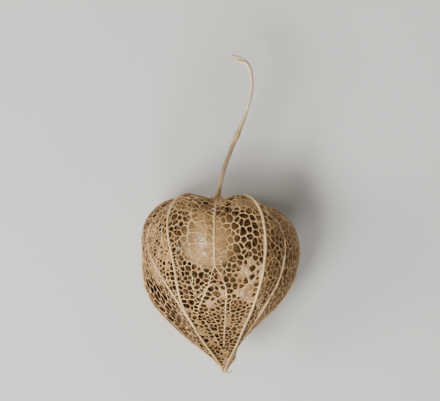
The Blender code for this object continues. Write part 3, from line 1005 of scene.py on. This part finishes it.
def weave(net, seeds):
    # each vein is a bar: a ridge above, a ridge below and an edge along each cell's opening
    v = netValues
    full = {}
    for (i, j), width in net.widths.items():
        full[i], full[j] = max(width, full.get(i, 0.0)), max(width, full.get(j, 0.0))
    bm = bmesh.new()
    boldness = bm.verts.layers.float.new("boldness")
    upper, lower = {}, {}

    def knot(place, width):
        vertex = bm.verts.new(place)
        vertex[boldness] = min(1.0, (width / v["fineVein"] - 1) / v["boldRange"])
        return vertex

    for i, width in full.items():
        place, out = net.places[i]
        upper[i] = knot(place + out * width * v["depthShare"] * mm / 2, width)
        lower[i] = knot(place - out * width * v["depthShare"] * mm / 2, width)
    openings = {}
    for k, ring in net.rings.items():
        turn, t = skin.fromPlane(*seeds.xy[k])
        if len(ring) < 3 or len(set(ring)) < len(ring) or t > v["pointAt"]:
            continue
        opening, middle, out, tight = openingOf(net, k)
        if tight:
            faces = [bm.faces.new([upper[i] for i in ring]), bm.faces.new([lower[i] for i in reversed(ring)])]
        else:
            openings[k] = (opening, middle, out, [net.places[i][0] for i in ring])
            inner = [knot(place, full[i] * v["holeShare"]) for place, i in zip(opening, ring)]
            faces = []
            for n, i in enumerate(ring):
                m = (n + 1) % len(ring)
                faces.append(bm.faces.new((upper[i], upper[ring[m]], inner[m], inner[n])))
                faces.append(bm.faces.new((lower[ring[m]], lower[i], inner[n], inner[m])))
        for face in faces:
            face.material_index = int(turn // 2)
    for vertex in [vertex for vertex in bm.verts if not vertex.link_faces]:
        bm.verts.remove(vertex)
    whole = objectFrom(bm, "wholeNet")
    for _ in range(skin.ribCount // 2):
        whole.data.materials.append(netStraw)
    rounding = whole.modifiers.new("rounding", "SUBSURF")
    rounding.levels = 1
    rounding.render_levels = 1
    applyModifiers(whole)
    return whole, openings


def splitLobes(whole):
    # one piece for each of the five lobes of the husk
    mesh = whole.data
    places = np.empty(len(mesh.vertices) * 3)
    boldness = np.empty(len(mesh.vertices))
    corners = np.empty(len(mesh.loops), dtype=np.int64)
    lobeOf = np.empty(len(mesh.polygons), dtype=np.int64)
    mesh.vertices.foreach_get("co", places)
    mesh.attributes["boldness"].data.foreach_get("value", boldness)
    mesh.loops.foreach_get("vertex_index", corners)
    mesh.polygons.foreach_get("material_index", lobeOf)
    places = places.reshape(-1, 3)
    quads = corners.reshape(-1, 4)
    pieces = []
    for number in range(skin.ribCount // 2):
        used, local = np.unique(quads[lobeOf == number], return_inverse=True)
        name = f"lobeNet{number + 1}"
        part = bpy.data.meshes.new(name)
        part.from_pydata(places[used].tolist(), [], local.reshape(-1, 4).tolist())
        part.attributes.new("boldness", "FLOAT", "POINT").data.foreach_set("value", boldness[used])
        part.materials.append(netStraw)
        part.shade_smooth()
        piece = bpy.data.objects.new(name, part)
        bpy.context.scene.collection.objects.link(piece)
        keepAboveFloor(piece)
        settle(piece, "husk", "husk_net")
        pieces.append(piece)
    bpy.data.objects.remove(whole, do_unlink=True)
    return pieces


rng = random.Random(netValues["seed"])
seeds = plantSeeds(rng)
print("net seeds", seeds.count)
net = VeinNet(seeds)
evenOut(seeds, net, netValues["evening"])
net = VeinNet(seeds)
patchField = SeedField(netValues["patchRoom"])
patchCrowding = netValues["crowding"] * (netValues["patchSize"] / netValues["cellSize"])
patchField.scatter(netValues["patchDraws"], patchCrowding, rng)
patches = [patchField.nearest(*seeds.xy[k]) for k in range(seeds.count)]
net.setWidths(seeds, patches)
net.straighten(seeds)
net.raiseUp()
wholeNet, openings = weave(net, seeds)
lobes = splitLobes(wholeNet)
print("net ready:", len(net.rings), "cells,", [len(p.data.polygons) for p in lobes], "faces")


# Ribs
ribValues = {
    # radius in mm at the shoulder, round the middle and low down, rib by rib
    "radii": [
        (0.14, 0.20, 0.18), (0.20, 0.29, 0.22), (0.13, 0.20, 0.23), (0.15, 0.28, 0.28), (0.21, 0.26, 0.22),
        (0.15, 0.32, 0.25), (0.13, 0.19, 0.17), (0.18, 0.25, 0.22), (0.14, 0.20, 0.18), (0.20, 0.30, 0.26),
    ],
    "startAt": 0.15,          # outline steps
    "pointRadius": 0.15,
    "sides": 10,
    "stations": 120,
    "liftShare": 0.35,        # of its radius that a rib stands proud of the net
    "wander": 0.16,           # mm
    # shares of the length over which its radius changes from shoulder to middle and from middle to low
    "growsOver": (0.10, 0.30),
    "changesOver": (0.55, 0.90),
    "veinShare": 0.34,        # radius of a side vein over its width, and how much it thins
    "veinTaper": 0.35,
    "veinLift": 0.06,         # mm
    "veinSides": 8,
    "veinStations": 12,       # from one point to the next
}


def ribRadius(rib, t):
    def passed(start, stop):
        return min(1.0, max(0.0, (t / skin.last - start) / (stop - start)))

    shoulder, middle, low = ribValues["radii"][rib]
    radius = shoulder + (middle - shoulder) * passed(*ribValues["growsOver"])
    radius += (low - middle) * passed(*ribValues["changesOver"])
    return radius + (ribValues["pointRadius"] - radius) * max(0.0, (t - skin.last) / (skin.end - skin.last))


def woody(number, depth=0.14):
    # the uneven, faintly grooved outline of a dried vein
    def shape(angle, along):
        knots = noise.noise(Vector((along * 34, number * 7.1, 0)))
        return 1 + depth * knots + 0.05 * math.cos(4 * angle + 9 * along + number)
    return shape


def makeRibs():
    pieces = []
    for rib in range(skin.ribCount):
        stop = forkAt if rib == frontFold else skin.end
        stations = []
        for k in range(ribValues["stations"] + 1):
            t = ribValues["startAt"] + (stop - ribValues["startAt"]) * k / ribValues["stations"]
            radius = ribRadius(rib, t)
            sway = ribValues["wander"] * noise.noise(Vector((t * 0.9, rib * 3.7, 5)))
            centre = skin.point(rib, t, lift=radius * ribValues["liftShare"])
            stations.append((centre + Vector((sway * mm, 0, 0)), radius * mm))
        pieces.append(sweep(f"rib{rib}", stations, ribValues["sides"], woody(rib)))
    ribs = joinPieces("huskRibs", pieces)
    ribs.data.materials.append(ribCream)
    keepAboveFloor(ribs)
    settle(ribs, "husk", "husk_net")


def makeSideVeins():
    v = ribValues
    pieces = []
    for number, (width, points) in enumerate(tracedVeins.values()):
        placed = [skin.onFront(x, y) for x, y in points]
        count = v["veinStations"] * (len(placed) - 1)
        stations = []
        for k in range(count + 1):
            turn, t = curveThrough(placed, (len(placed) - 1) * k / count)
            radius = width * v["veinShare"] * (1 - v["veinTaper"] * k / count)
            stations.append((skin.point(turn, t, lift=v["veinLift"]), radius * mm))
        pieces.append(sweep(f"sideVein{number}", stations, v["veinSides"], woody(number + 20)))
    veins = joinPieces("sideVeins", pieces)
    veins.data.materials.append(ribCream)
    settle(veins, "husk", "husk_net")


makeRibs()
makeSideVeins()
print("ribs and side veins ready")


# Papery film left in some cells, and whole dark film as painted shade on the underside and by the collar
filmValues = {
    "thickness": 0.04,        # mm
    # the chance that a cell keeps some film, its tone (0 dark, 1 pale), and the chance that it is whole
    "usual": (0.12, 0.52, 0.10),
    "edge": (0.38, 0.40, 0.40),      # along the outline seen from above
    "under": (1.0, 0.10, 1.0),       # on the side that lies on the ground, and behind the shoulder; its whole dark film is painted shade that keeps the inside dark
    "shadeFilmTone": 0.12,         # of the film behind netValues' dark cells, painted shade
    # limits on the direction out of the skin, and mm over the collar, for those
    "edgeBelow": 0.12,
    "underBelow": -0.15,
    "underLevel": -1.5,
    "shoulderBelow": 0.05,
    "shoulderBehind": 0.5,
    "rimShare": 0.6,          # of the way in from a vein's middle to its edge, where the film is held
    "longRim": 0.55,          # mm, a longer stretch of rim is halved
    "sag": (-0.12, 0.02),     # mm that a film's middle lies out from the net, from and to
    "sunk": 0.03,             # mm that its rim lies in from the veins' middles
    "tearAside": 0.5,         # of the way to the rim that a tear's middle may be off
    "tearReach": (0.35, 0.85),       # of the way from there to the rim, and how ragged that is
    "tearRagged": (0.75, 1.15),
    "tornTo": 0.92,           # of that way, past which no tear reaches
    "tearDarker": 0.1,
    "toneSpread": 0.08,
    "surelyKept": 0.9,        # a chance from which no patchiness takes any away
    "patchiness": (0.9, 3.2),        # strength, and size in mm
    "toneChange": (0.16, 2.2),
    # places on the upper side that kept more: x, y and half sizes in mm from the collar, chance, tone, whole
    "zones": [
        (-10.6, -2.0, 7.2, 1.5, 0.95, 0.36, 0.80),
        (-15.5, -6.0, 3.0, 3.2, 0.80, 0.42, 0.50),
        (7.0, -1.5, 5.6, 1.2, 0.95, 0.84, 0.85),
        (-1.9, -8.5, 1.2, 4.6, 0.90, 0.55, 0.80),
        (-5.9, -11.3, 3.2, 4.6, 0.00, 0.72, 0.30),
        (3.0, -11.5, 3.5, 5.0, 0.06, 0.60, 0.20),
        (10.7, -5.8, 1.2, 1.7, 0.90, 0.50, 0.80),
        (8.6, -17.5, 2.6, 2.6, 0.90, 0.90, 0.50),
        (10.5, -20.5, 1.6, 2.2, 0.75, 0.85, 0.40),
        (6.8, -23.9, 1.8, 2.0, 0.90, 0.93, 0.55),
        (1.4, -23.7, 1.0, 1.1, 0.95, 0.92, 0.85),
        (-1.7, -26.2, 1.0, 1.0, 0.95, 0.90, 0.85),
        (9.9, -25.5, 1.5, 1.4, 0.90, 0.80, 0.70),
        (-15.4, -13.5, 3.4, 7.0, 0.85, 0.62, 0.40),
        (-17.6, -25.0, 2.6, 4.0, 0.10, 0.50, 0.10),
        (-13.0, -30.0, 2.6, 3.0, 0.15, 0.50, 0.10),
        # the low tones of the next two zones, on the right lobe, are partly the film's own colour and partly
        # painted shade on the side away from the lights
        (13.9, -14.5, 1.6, 7.5, 0.88, 0.20, 0.70),
        (17.3, -16.0, 1.8, 7.0, 0.40, 0.22, 0.35),
        (-4.5, -37.0, 3.5, 4.0, 0.40, 0.50, 0.30),
        (2.0, -41.5, 2.5, 2.5, 0.60, 0.42, 0.40),
    ],
    "margin": 0.25,           # of a zone's half size over which it fades
}


def filmAt(place, out):
    # chance, tone and chance of a whole film at a place of the husk
    v = filmValues
    x, y, z = (place - collar) / mm
    behindShoulder = out.z < v["shoulderBelow"] and out.y > v["shoulderBehind"]
    if out.z < v["underBelow"] or z < v["underLevel"] or behindShoulder:
        # painted shade: whole dark film on the underside and behind the shoulder
        return v["under"]
    kept = v["edge"] if out.z < v["edgeBelow"] else v["usual"]
    for zoneX, zoneY, halfX, halfY, *zoneKept in v["zones"]:
        away = math.hypot((x - zoneX) / halfX, (y - zoneY) / halfY)
        inside = max(0.0, min(1.0, (1 - away) / v["margin"] + 1))
        if inside and out.z > v["shoulderBelow"]:
            kept = [a + (b - a) * inside for a, b in zip(kept, zoneKept)]
    return kept


def filmPatch(bm, toneLayer, opening, rng, whole, tone):
    v = filmValues
    inner, middle, out, outer = opening
    rim = []
    for n in range(len(inner)):
        m = (n + 1) % len(inner)
        a = outer[n].lerp(inner[n], v["rimShare"])
        b = outer[m].lerp(inner[m], v["rimShare"])
        rim.append(a)
        if (b - a).length > v["longRim"] * mm:
            rim.append(a.lerp(b, 0.5))
    sag = out * rng.uniform(*v["sag"]) * mm
    sunk = out * v["sunk"] * mm

    def point(place, shade):
        vertex = bm.verts.new(place)
        vertex[toneLayer] = min(1.0, max(0.0, shade))
        return vertex

    edge = [point(p - sunk, tone) for p in rim]
    if whole:
        centre = point(middle + sag, tone + rng.uniform(-v["toneSpread"], v["toneSpread"]))
        for a, b in zip(edge, edge[1:] + edge[:1]):
            bm.faces.new((a, b, centre))
        return
    # a torn film leaves a hole, with a darker ragged edge
    aside = (rng.choice(rim) - middle) * rng.uniform(0.0, v["tearAside"])
    torn = rng.uniform(*v["tearReach"])
    ring = []
    for p in rim:
        reach = min(v["tornTo"], torn * rng.uniform(*v["tearRagged"]))
        ring.append(point(middle + aside + sag + (p - middle - aside) * reach, tone - v["tearDarker"]))
    for j in range(len(rim)):
        n = (j + 1) % len(rim)
        bm.faces.new((edge[j], edge[n], ring[n], ring[j]))


def makeFilm(openings, rng):
    v = filmValues
    meshes = {"paperyFilm": bmesh.new(), "underShadeFilm": bmesh.new()}
    tones = {name: bm.verts.layers.float.new("tone") for name, bm in meshes.items()}
    for k, opening in openings.items():
        if k in seeds.open:
            continue
        # painted shade: whole dark film behind the open cells by the collar
        if k in seeds.dark:
            filmPatch(meshes["paperyFilm"], tones["paperyFilm"], opening, rng, True, v["shadeFilmTone"])
            continue
        _, middle, out, _ = opening
        chance, tone, whole = filmAt(middle, out)
        strength, size = v["patchiness"]
        patchy = 1 + strength * noise.noise((middle - collar) / (size * mm))
        if rng.random() > chance * (patchy if chance < v["surelyKept"] else 1):
            continue
        name = "paperyFilm" if out.z > 0 else "underShadeFilm"
        strength, size = v["toneChange"]
        spread = rng.uniform(-v["toneSpread"], v["toneSpread"])
        tone += strength * noise.noise((middle - collar) / (size * mm)) + spread
        filmPatch(meshes[name], tones[name], opening, rng, rng.random() < whole, tone)
    for name, bm in meshes.items():
        film = objectFrom(bm, name)
        thicken = film.modifiers.new("thickness", "SOLIDIFY")
        thicken.thickness = v["thickness"] * mm
        applyModifiers(film)
        film.data.materials.clear()
        film.data.materials.append(paperFilm)
        keepAboveFloor(film)
        settle(film, "husk", "husk_net")
        print(name, "ready:", len(film.data.polygons), "faces")


makeFilm(openings, rng)


# The pressed tip and the collar
tipValues = {
    # height along the axis and radius, mm
    "outline": [(-42.2, 0.3), (-42.6, 0.8), (-43.3, 0.75), (-44.0, 0.50), (-44.6, 0.36), (-45.0, 0.20)],
    "ridges": 10,
    "ridgeDepth": 0.16,
    "twist": 0.35,
    "wander": 0.12,           # mm
    "stations": 40,
    "sides": 60,
    "hook": [
        (1.70, -43.9, 0.0), (2.05, -44.5, 0.25), (2.7, -44.85, 0.3), (3.4, -44.6, 0.15), (3.55, -44.2, 0.0),
        (3.0, -44.0, -0.1),
    ],
    "hookRadius": 0.24,
    "hookTaper": 0.6,
    "hookStations": 24,
    "hookSides": 8,
}


def makeTip():
    v = tipValues
    last = len(v["outline"]) - 1
    stations = []
    for k in range(v["stations"] + 1):
        height, radius = curveThrough(v["outline"], last * k / v["stations"])
        wander = v["wander"] * noise.noise(Vector((height * 0.8, 3, 1)))
        centre = Vector((-huskValues["lean"] * height + wander, height, wander))
        stations.append((collar + centre * mm, radius * mm))

    def shape(angle, along):
        fold = math.cos(v["ridges"] / 2 * (angle + v["twist"] * along))
        uneven = 0.05 * noise.noise(Vector((angle * 2, along * 9, 0)))
        return 1 - v["ridgeDepth"] * (1 - along) * (1 - abs(fold)) + uneven

    body = sweep("tipBody", stations, v["sides"], shape)
    hook = strand("tipHook", v["hook"], v["hookRadius"], v["hookTaper"], v["hookStations"], v["hookSides"])
    tip = joinPieces("huskTip", [body, hook])
    tip.data.materials.append(ribCream)
    settle(tip, "husk", "husk_net")


collarValues = {
    "radius": 2.12,           # mm, of the ring's middle line
    "thick": 0.30,            # mm, half the ring's thickness between two ribs
    "knob": 0.14,             # mm more at a rib
    "knobPower": 40,          # higher is narrower
    "drop": 0.05,             # mm
    "around": 80,
    "sides": 12,
}


def makeCollar():
    # a lobed ring where the ribs meet round the stalk
    v = collarValues
    ring = []
    bm = bmesh.new()
    for j in range(v["around"]):
        angle = math.tau * j / v["around"]
        near = max(math.cos(angle - skin.bearing(rib, 0)) for rib in range(skin.ribCount)) ** v["knobPower"]
        out = Vector((math.sin(angle), 0, math.cos(angle)))
        thick = v["thick"] + v["knob"] * near
        loop = []
        for k in range(v["sides"]):
            turn = math.tau * k / v["sides"]
            place = out * (v["radius"] + thick * math.cos(turn))
            place += Vector((0, thick * math.sin(turn) - v["drop"], 0))
            loop.append(bm.verts.new(collar + place * mm))
        ring.append(loop)
    for a, b in zip(ring, ring[1:] + ring[:1]):
        for k in range(v["sides"]):
            m = (k + 1) % v["sides"]
            bm.faces.new((a[k], a[m], b[m], b[k]))
    bmesh.ops.recalc_face_normals(bm, faces=bm.faces)
    piece = objectFrom(bm, "huskCollar")
    piece.data.materials.append(ribCream)
    settle(piece, "husk", "husk_net")


makeTip()
makeCollar()
print("tip and collar ready")


# Berry
berryValues = {
    "radius": 7.75,           # mm
    "stretch": 1.06,
    "centre": (-2.3, -9.95, -0.6),
    "dent": 0.35,             # mm, under the receptacle
    "dentSpread": 18,         # degrees
    "wrinkle": 0.07,          # mm
    "fineWrinkle": 0.4,       # of that
    "wrinkleScale": 2.6,      # how many there are, about, from the middle to the skin
    "fineScale": 9,
    "folds": 9,               # that gather at the receptacle
    "foldDepth": 0.05,        # mm
    "foldSpread": 0.7,        # radians
    # the small point opposite it, and the groove round that: mm high or deep, and place and spread in radians
    "point": (0.18, 0.0, 0.05),
    "groove": (0.12, 0.11, 0.05),
    "meridians": 128,
    "rings": 90,
}


def makeBerry():
    v = berryValues
    bm = bmesh.new()
    bmesh.ops.create_uvsphere(bm, u_segments=v["meridians"], v_segments=v["rings"], radius=v["radius"] * mm)
    for vertex in bm.verts:
        direction = vertex.co.normalized()
        offPole = direction.angle(Vector((0, 0, 1)), 0.0)
        offTip = math.pi - offPole
        around = math.atan2(direction.y, direction.x)
        depth = v["dent"] * math.exp(-(offPole / math.radians(v["dentSpread"])) ** 2)
        gathered = math.exp(-(offPole / v["foldSpread"]) ** 2)
        depth += v["foldDepth"] * math.cos(v["folds"] * around + 1.3 * math.sin(2 * around)) * gathered
        depth += v["wrinkle"] * noise.noise(direction * v["wrinkleScale"])
        depth += v["wrinkle"] * v["fineWrinkle"] * noise.noise(direction * v["fineScale"])
        for way, (height, place, spread) in ((-1, v["point"]), (1, v["groove"])):
            depth += way * height * math.exp(-((offTip - place) / spread) ** 2)
        vertex.co *= 1 - depth / v["radius"]
        vertex.co.z *= v["stretch"]
    centre = Vector(v["centre"]) * mm
    turnTo = (-centre).to_track_quat("Z", "Y").to_matrix().to_4x4()
    bmesh.ops.transform(bm, matrix=Matrix.Translation(collar + centre) @ turnTo, verts=bm.verts)
    berry = objectFrom(bm, "driedFruit")
    berry.data.materials.append(driedBerry)
    settle(berry, "berry", "berry")


makeBerry()
print("berry ready")


# Stalk
stalkValues = {
    # centre line and radius, mm, from the receptacle in the husk to the torn heel
    "path": [
        (0.0, -1.30, 0.0, 2.00), (0.0, -0.85, 0.0, 2.00), (0.0, -0.55, 0.0, 1.50), (0.0, 0.40, 0.0, 1.30),
        (0.1, 1.10, 0.0, 0.78), (0.4, 3.00, 0.1, 0.62), (1.1, 6.20, 0.2, 0.57), (2.4, 10.2, 0.5, 0.54),
        (4.2, 14.8, 0.8, 0.57), (4.9, 16.4, 0.9, 0.74), (5.6, 18.1, 1.0, 0.56), (7.0, 21.8, 1.2, 0.50),
        (8.2, 25.8, 1.2, 0.48), (8.7, 29.2, 1.0, 0.48), (8.5, 32.2, 0.7, 0.50), (7.75, 34.4, 0.4, 0.55),
        (6.5, 35.6, 0.25, 0.66), (5.1, 36.1, 0.1, 0.74), (3.6, 36.8, 0.0, 0.64),
    ],
    "heelFrom": 15.2,         # along the path, where the stalk parts into two twisted strands
    "heelTurn": -0.9,         # radians, the way the two lie at first and how far they twist
    "heelTwist": 2.2,
    "heelStations": 30,
    "partedBy": 8,            # stations
    "strandRadius": 0.56,     # of the stalk's
    "strandApart": 0.50,
    "coreRadius": 0.52,
    "strandSides": 12,
    "strandGrooves": 0.25,    # of their radius
    "overlap": 0.5,           # outline steps that the stalk runs on into its strands
    "curls": [
        [
            (6.5, 19.2, 1.2), (7.2, 19.25, 1.5), (7.8, 19.6, 1.7), (7.95, 20.2, 1.8), (7.5, 20.6, 1.7),
            (7.15, 20.3, 1.6),
        ],
        [(4.9, 17.0, 1.2), (4.4, 17.5, 1.6), (4.0, 18.1, 1.8), (4.05, 18.6, 1.8), (4.3, 18.8, 1.7)],
        [(5.6, 35.9, 0.5), (5.2, 36.7, 0.6), (4.6, 37.1, 0.6)],
    ],
    "curlRadius": 0.08,       # mm
    "curlTaper": 0.5,
    "curlStations": 30,
    "curlSides": 6,
    "sides": 20,
    "stationsEach": 9,
    "ridges": 5,
    "ridgeDepth": 0.07,
    "knotDepth": 0.10,
    "slimmer": 0.03,          # share that the ridges and knots take off on the whole
}


def stalkAt(t):
    # centre, in mm round the collar, and radius
    x, y, z, radius = curveThrough(stalkValues["path"], t)
    return Vector((x, y, z)), radius


def heelStrands():
    # two strands twisted round each other, and a brown core between them that is painted shade in the groove
    # where they meet
    v = stalkValues
    last = len(v["path"]) - 1
    count = v["heelStations"]
    core, pair = [], ([], [])
    for k in range(count + 1):
        t = v["heelFrom"] + (last - v["heelFrom"]) * k / count
        centre, radius = stalkAt(t)
        core.append((collar + centre * mm, radius * v["coreRadius"] * mm))
        ahead = (centre - stalkAt(t - 0.05)[0]).normalized()
        side = ahead.cross(Vector((0, 0, 1))).normalized()
        reach = radius * v["strandApart"] * min(1.0, k / v["partedBy"])
        for number, stations in enumerate(pair):
            angle = math.pi * number + v["heelTurn"] + v["heelTwist"] * k / count
            apart = side * math.cos(angle) + side.cross(ahead) * math.sin(angle)
            stations.append((collar + (centre + apart * reach) * mm, radius * v["strandRadius"] * mm))
    sides, depth = v["strandSides"], v["strandGrooves"]
    # painted shade: a dark brown core that fills the groove between the two strands
    heel = sweep("heelShadeCore", core, sides, woody(52, depth))
    heel.data.materials.append(heelShadeBrown)
    settle(heel, "stalk", "stalk")
    return [sweep(f"strand{n}", stations, sides, woody(n + 50, depth)) for n, stations in enumerate(pair)]


def makeStalk():
    v = stalkValues
    last = v["heelFrom"] + v["overlap"]
    count = round(last * v["stationsEach"])
    stations = []
    for k in range(count + 1):
        centre, radius = stalkAt(last * k / count)
        stations.append((collar + centre * mm, radius * mm))

    def shape(angle, along):
        ridges = v["ridgeDepth"] * math.cos(v["ridges"] * angle + 6 * along)
        knots = noise.noise(Vector((math.cos(angle) * 1.5, math.sin(angle) * 1.5, along * 40)))
        return 1 - v["slimmer"] + ridges + v["knotDepth"] * knots

    body = sweep("stemBody", stations, v["sides"], shape)
    curls = [
        strand(f"curl{n}", points, v["curlRadius"], v["curlTaper"], v["curlStations"], v["curlSides"])
        for n, points in enumerate(v["curls"])
    ]
    stem = joinPieces("stem", [body, *heelStrands(), *curls])
    stem.data.materials.append(driedStalk)
    settle(stem, "stalk", "stalk")


makeStalk()
print("stalk ready")


# Floor, light and camera
studioValues = {
    "photoWidth": 440,        # px
    "photoHeight": 401,
    "pixel": 0.258,           # mm in the plane of the husk's axis
    "collarPixel": (218, 199),
    "cameraHeight": 0.70,     # m over that plane
    "floorColour": (0.72, 0.705, 0.67),
    "patchShade": 0.975,      # of that colour, in its faint darker patches
    "worldColour": (1.0, 0.985, 0.96, 1),
    "worldStrength": 0.19,
    "aimBelow": 12,           # mm from the collar towards the tip, where the lights point
    # direction, distance and width in m, power in W and colour
    "lights": {
        "topSoftbox": ((-0.39, -0.30, 0.87), 0.55, 0.22, 3.1, (1, 1, 1)),
        "lowSoftbox": ((-0.19, -0.82, 0.54), 0.60, 0.20, 1.8, (1, 1, 1)),
        "sideSoftbox": ((-1.0, -0.05, 0.75), 0.80, 0.30, 3.4, (1.0, 0.97, 0.93)),
        "fill": ((0.9, 0.9, 1.2), 0.9, 0.6, 0.45, (1.0, 0.97, 0.93)),
    },
}


def makeFloor():
    bm = bmesh.new()
    bmesh.ops.create_grid(bm, x_segments=1, y_segments=1, size=2.0)
    floor = objectFrom(bm, "studioFloor", smooth=False)
    finish = Finish("studioFloor", Specular_IOR_Level=0.2)
    light = studioValues["floorColour"]
    shade = tuple(c * studioValues["patchShade"] for c in light)
    finish.colour(finish.ramp(finish.noise(40, 2.0), [(0.3, light), (0.7, shade)]))
    finish.shader.inputs["Roughness"].default_value = 0.8
    floor.data.materials.append(finish.material)


def areaLight(name, direction, distance, size, power, colour):
    light = bpy.data.lights.new(name, "AREA")
    light.shape = "DISK"
    light.size = size
    light.energy = power
    light.color = colour
    lamp = bpy.data.objects.new(name, light)
    direction = Vector(direction).normalized()
    lamp.location = collar + Vector((0, -studioValues["aimBelow"] * mm, 0)) + direction * distance
    lamp.rotation_mode = "QUATERNION"
    lamp.rotation_quaternion = direction.to_track_quat("Z", "Y")
    bpy.context.scene.collection.objects.link(lamp)


def makeLights():
    v = studioValues
    world = bpy.data.worlds.new("studio")
    bpy.context.scene.world = world
    world.use_nodes = True
    background = world.node_tree.nodes["Background"]
    background.inputs["Color"].default_value = v["worldColour"]
    background.inputs["Strength"].default_value = v["worldStrength"]
    for name, light in v["lights"].items():
        areaLight(name, *light)


def makeCamera():
    v = studioValues
    collarX, collarY = v["collarPixel"]
    offCentre = Vector((v["photoWidth"] / 2 - collarX, collarY - v["photoHeight"] / 2, 0))
    data = bpy.data.cameras.new("photoCamera")
    camera = bpy.data.objects.new("photoCamera", data)
    camera.location = collar + offCentre * v["pixel"] * mm + Vector((0, 0, v["cameraHeight"]))
    data.lens = data.sensor_width * v["cameraHeight"] / (v["photoWidth"] * v["pixel"] * mm)
    data.clip_start = 0.01
    data.clip_end = 20.0
    bpy.context.scene.collection.objects.link(camera)
    bpy.context.scene.camera = camera


makeFloor()
makeLights()
makeCamera()
print("studio ready")
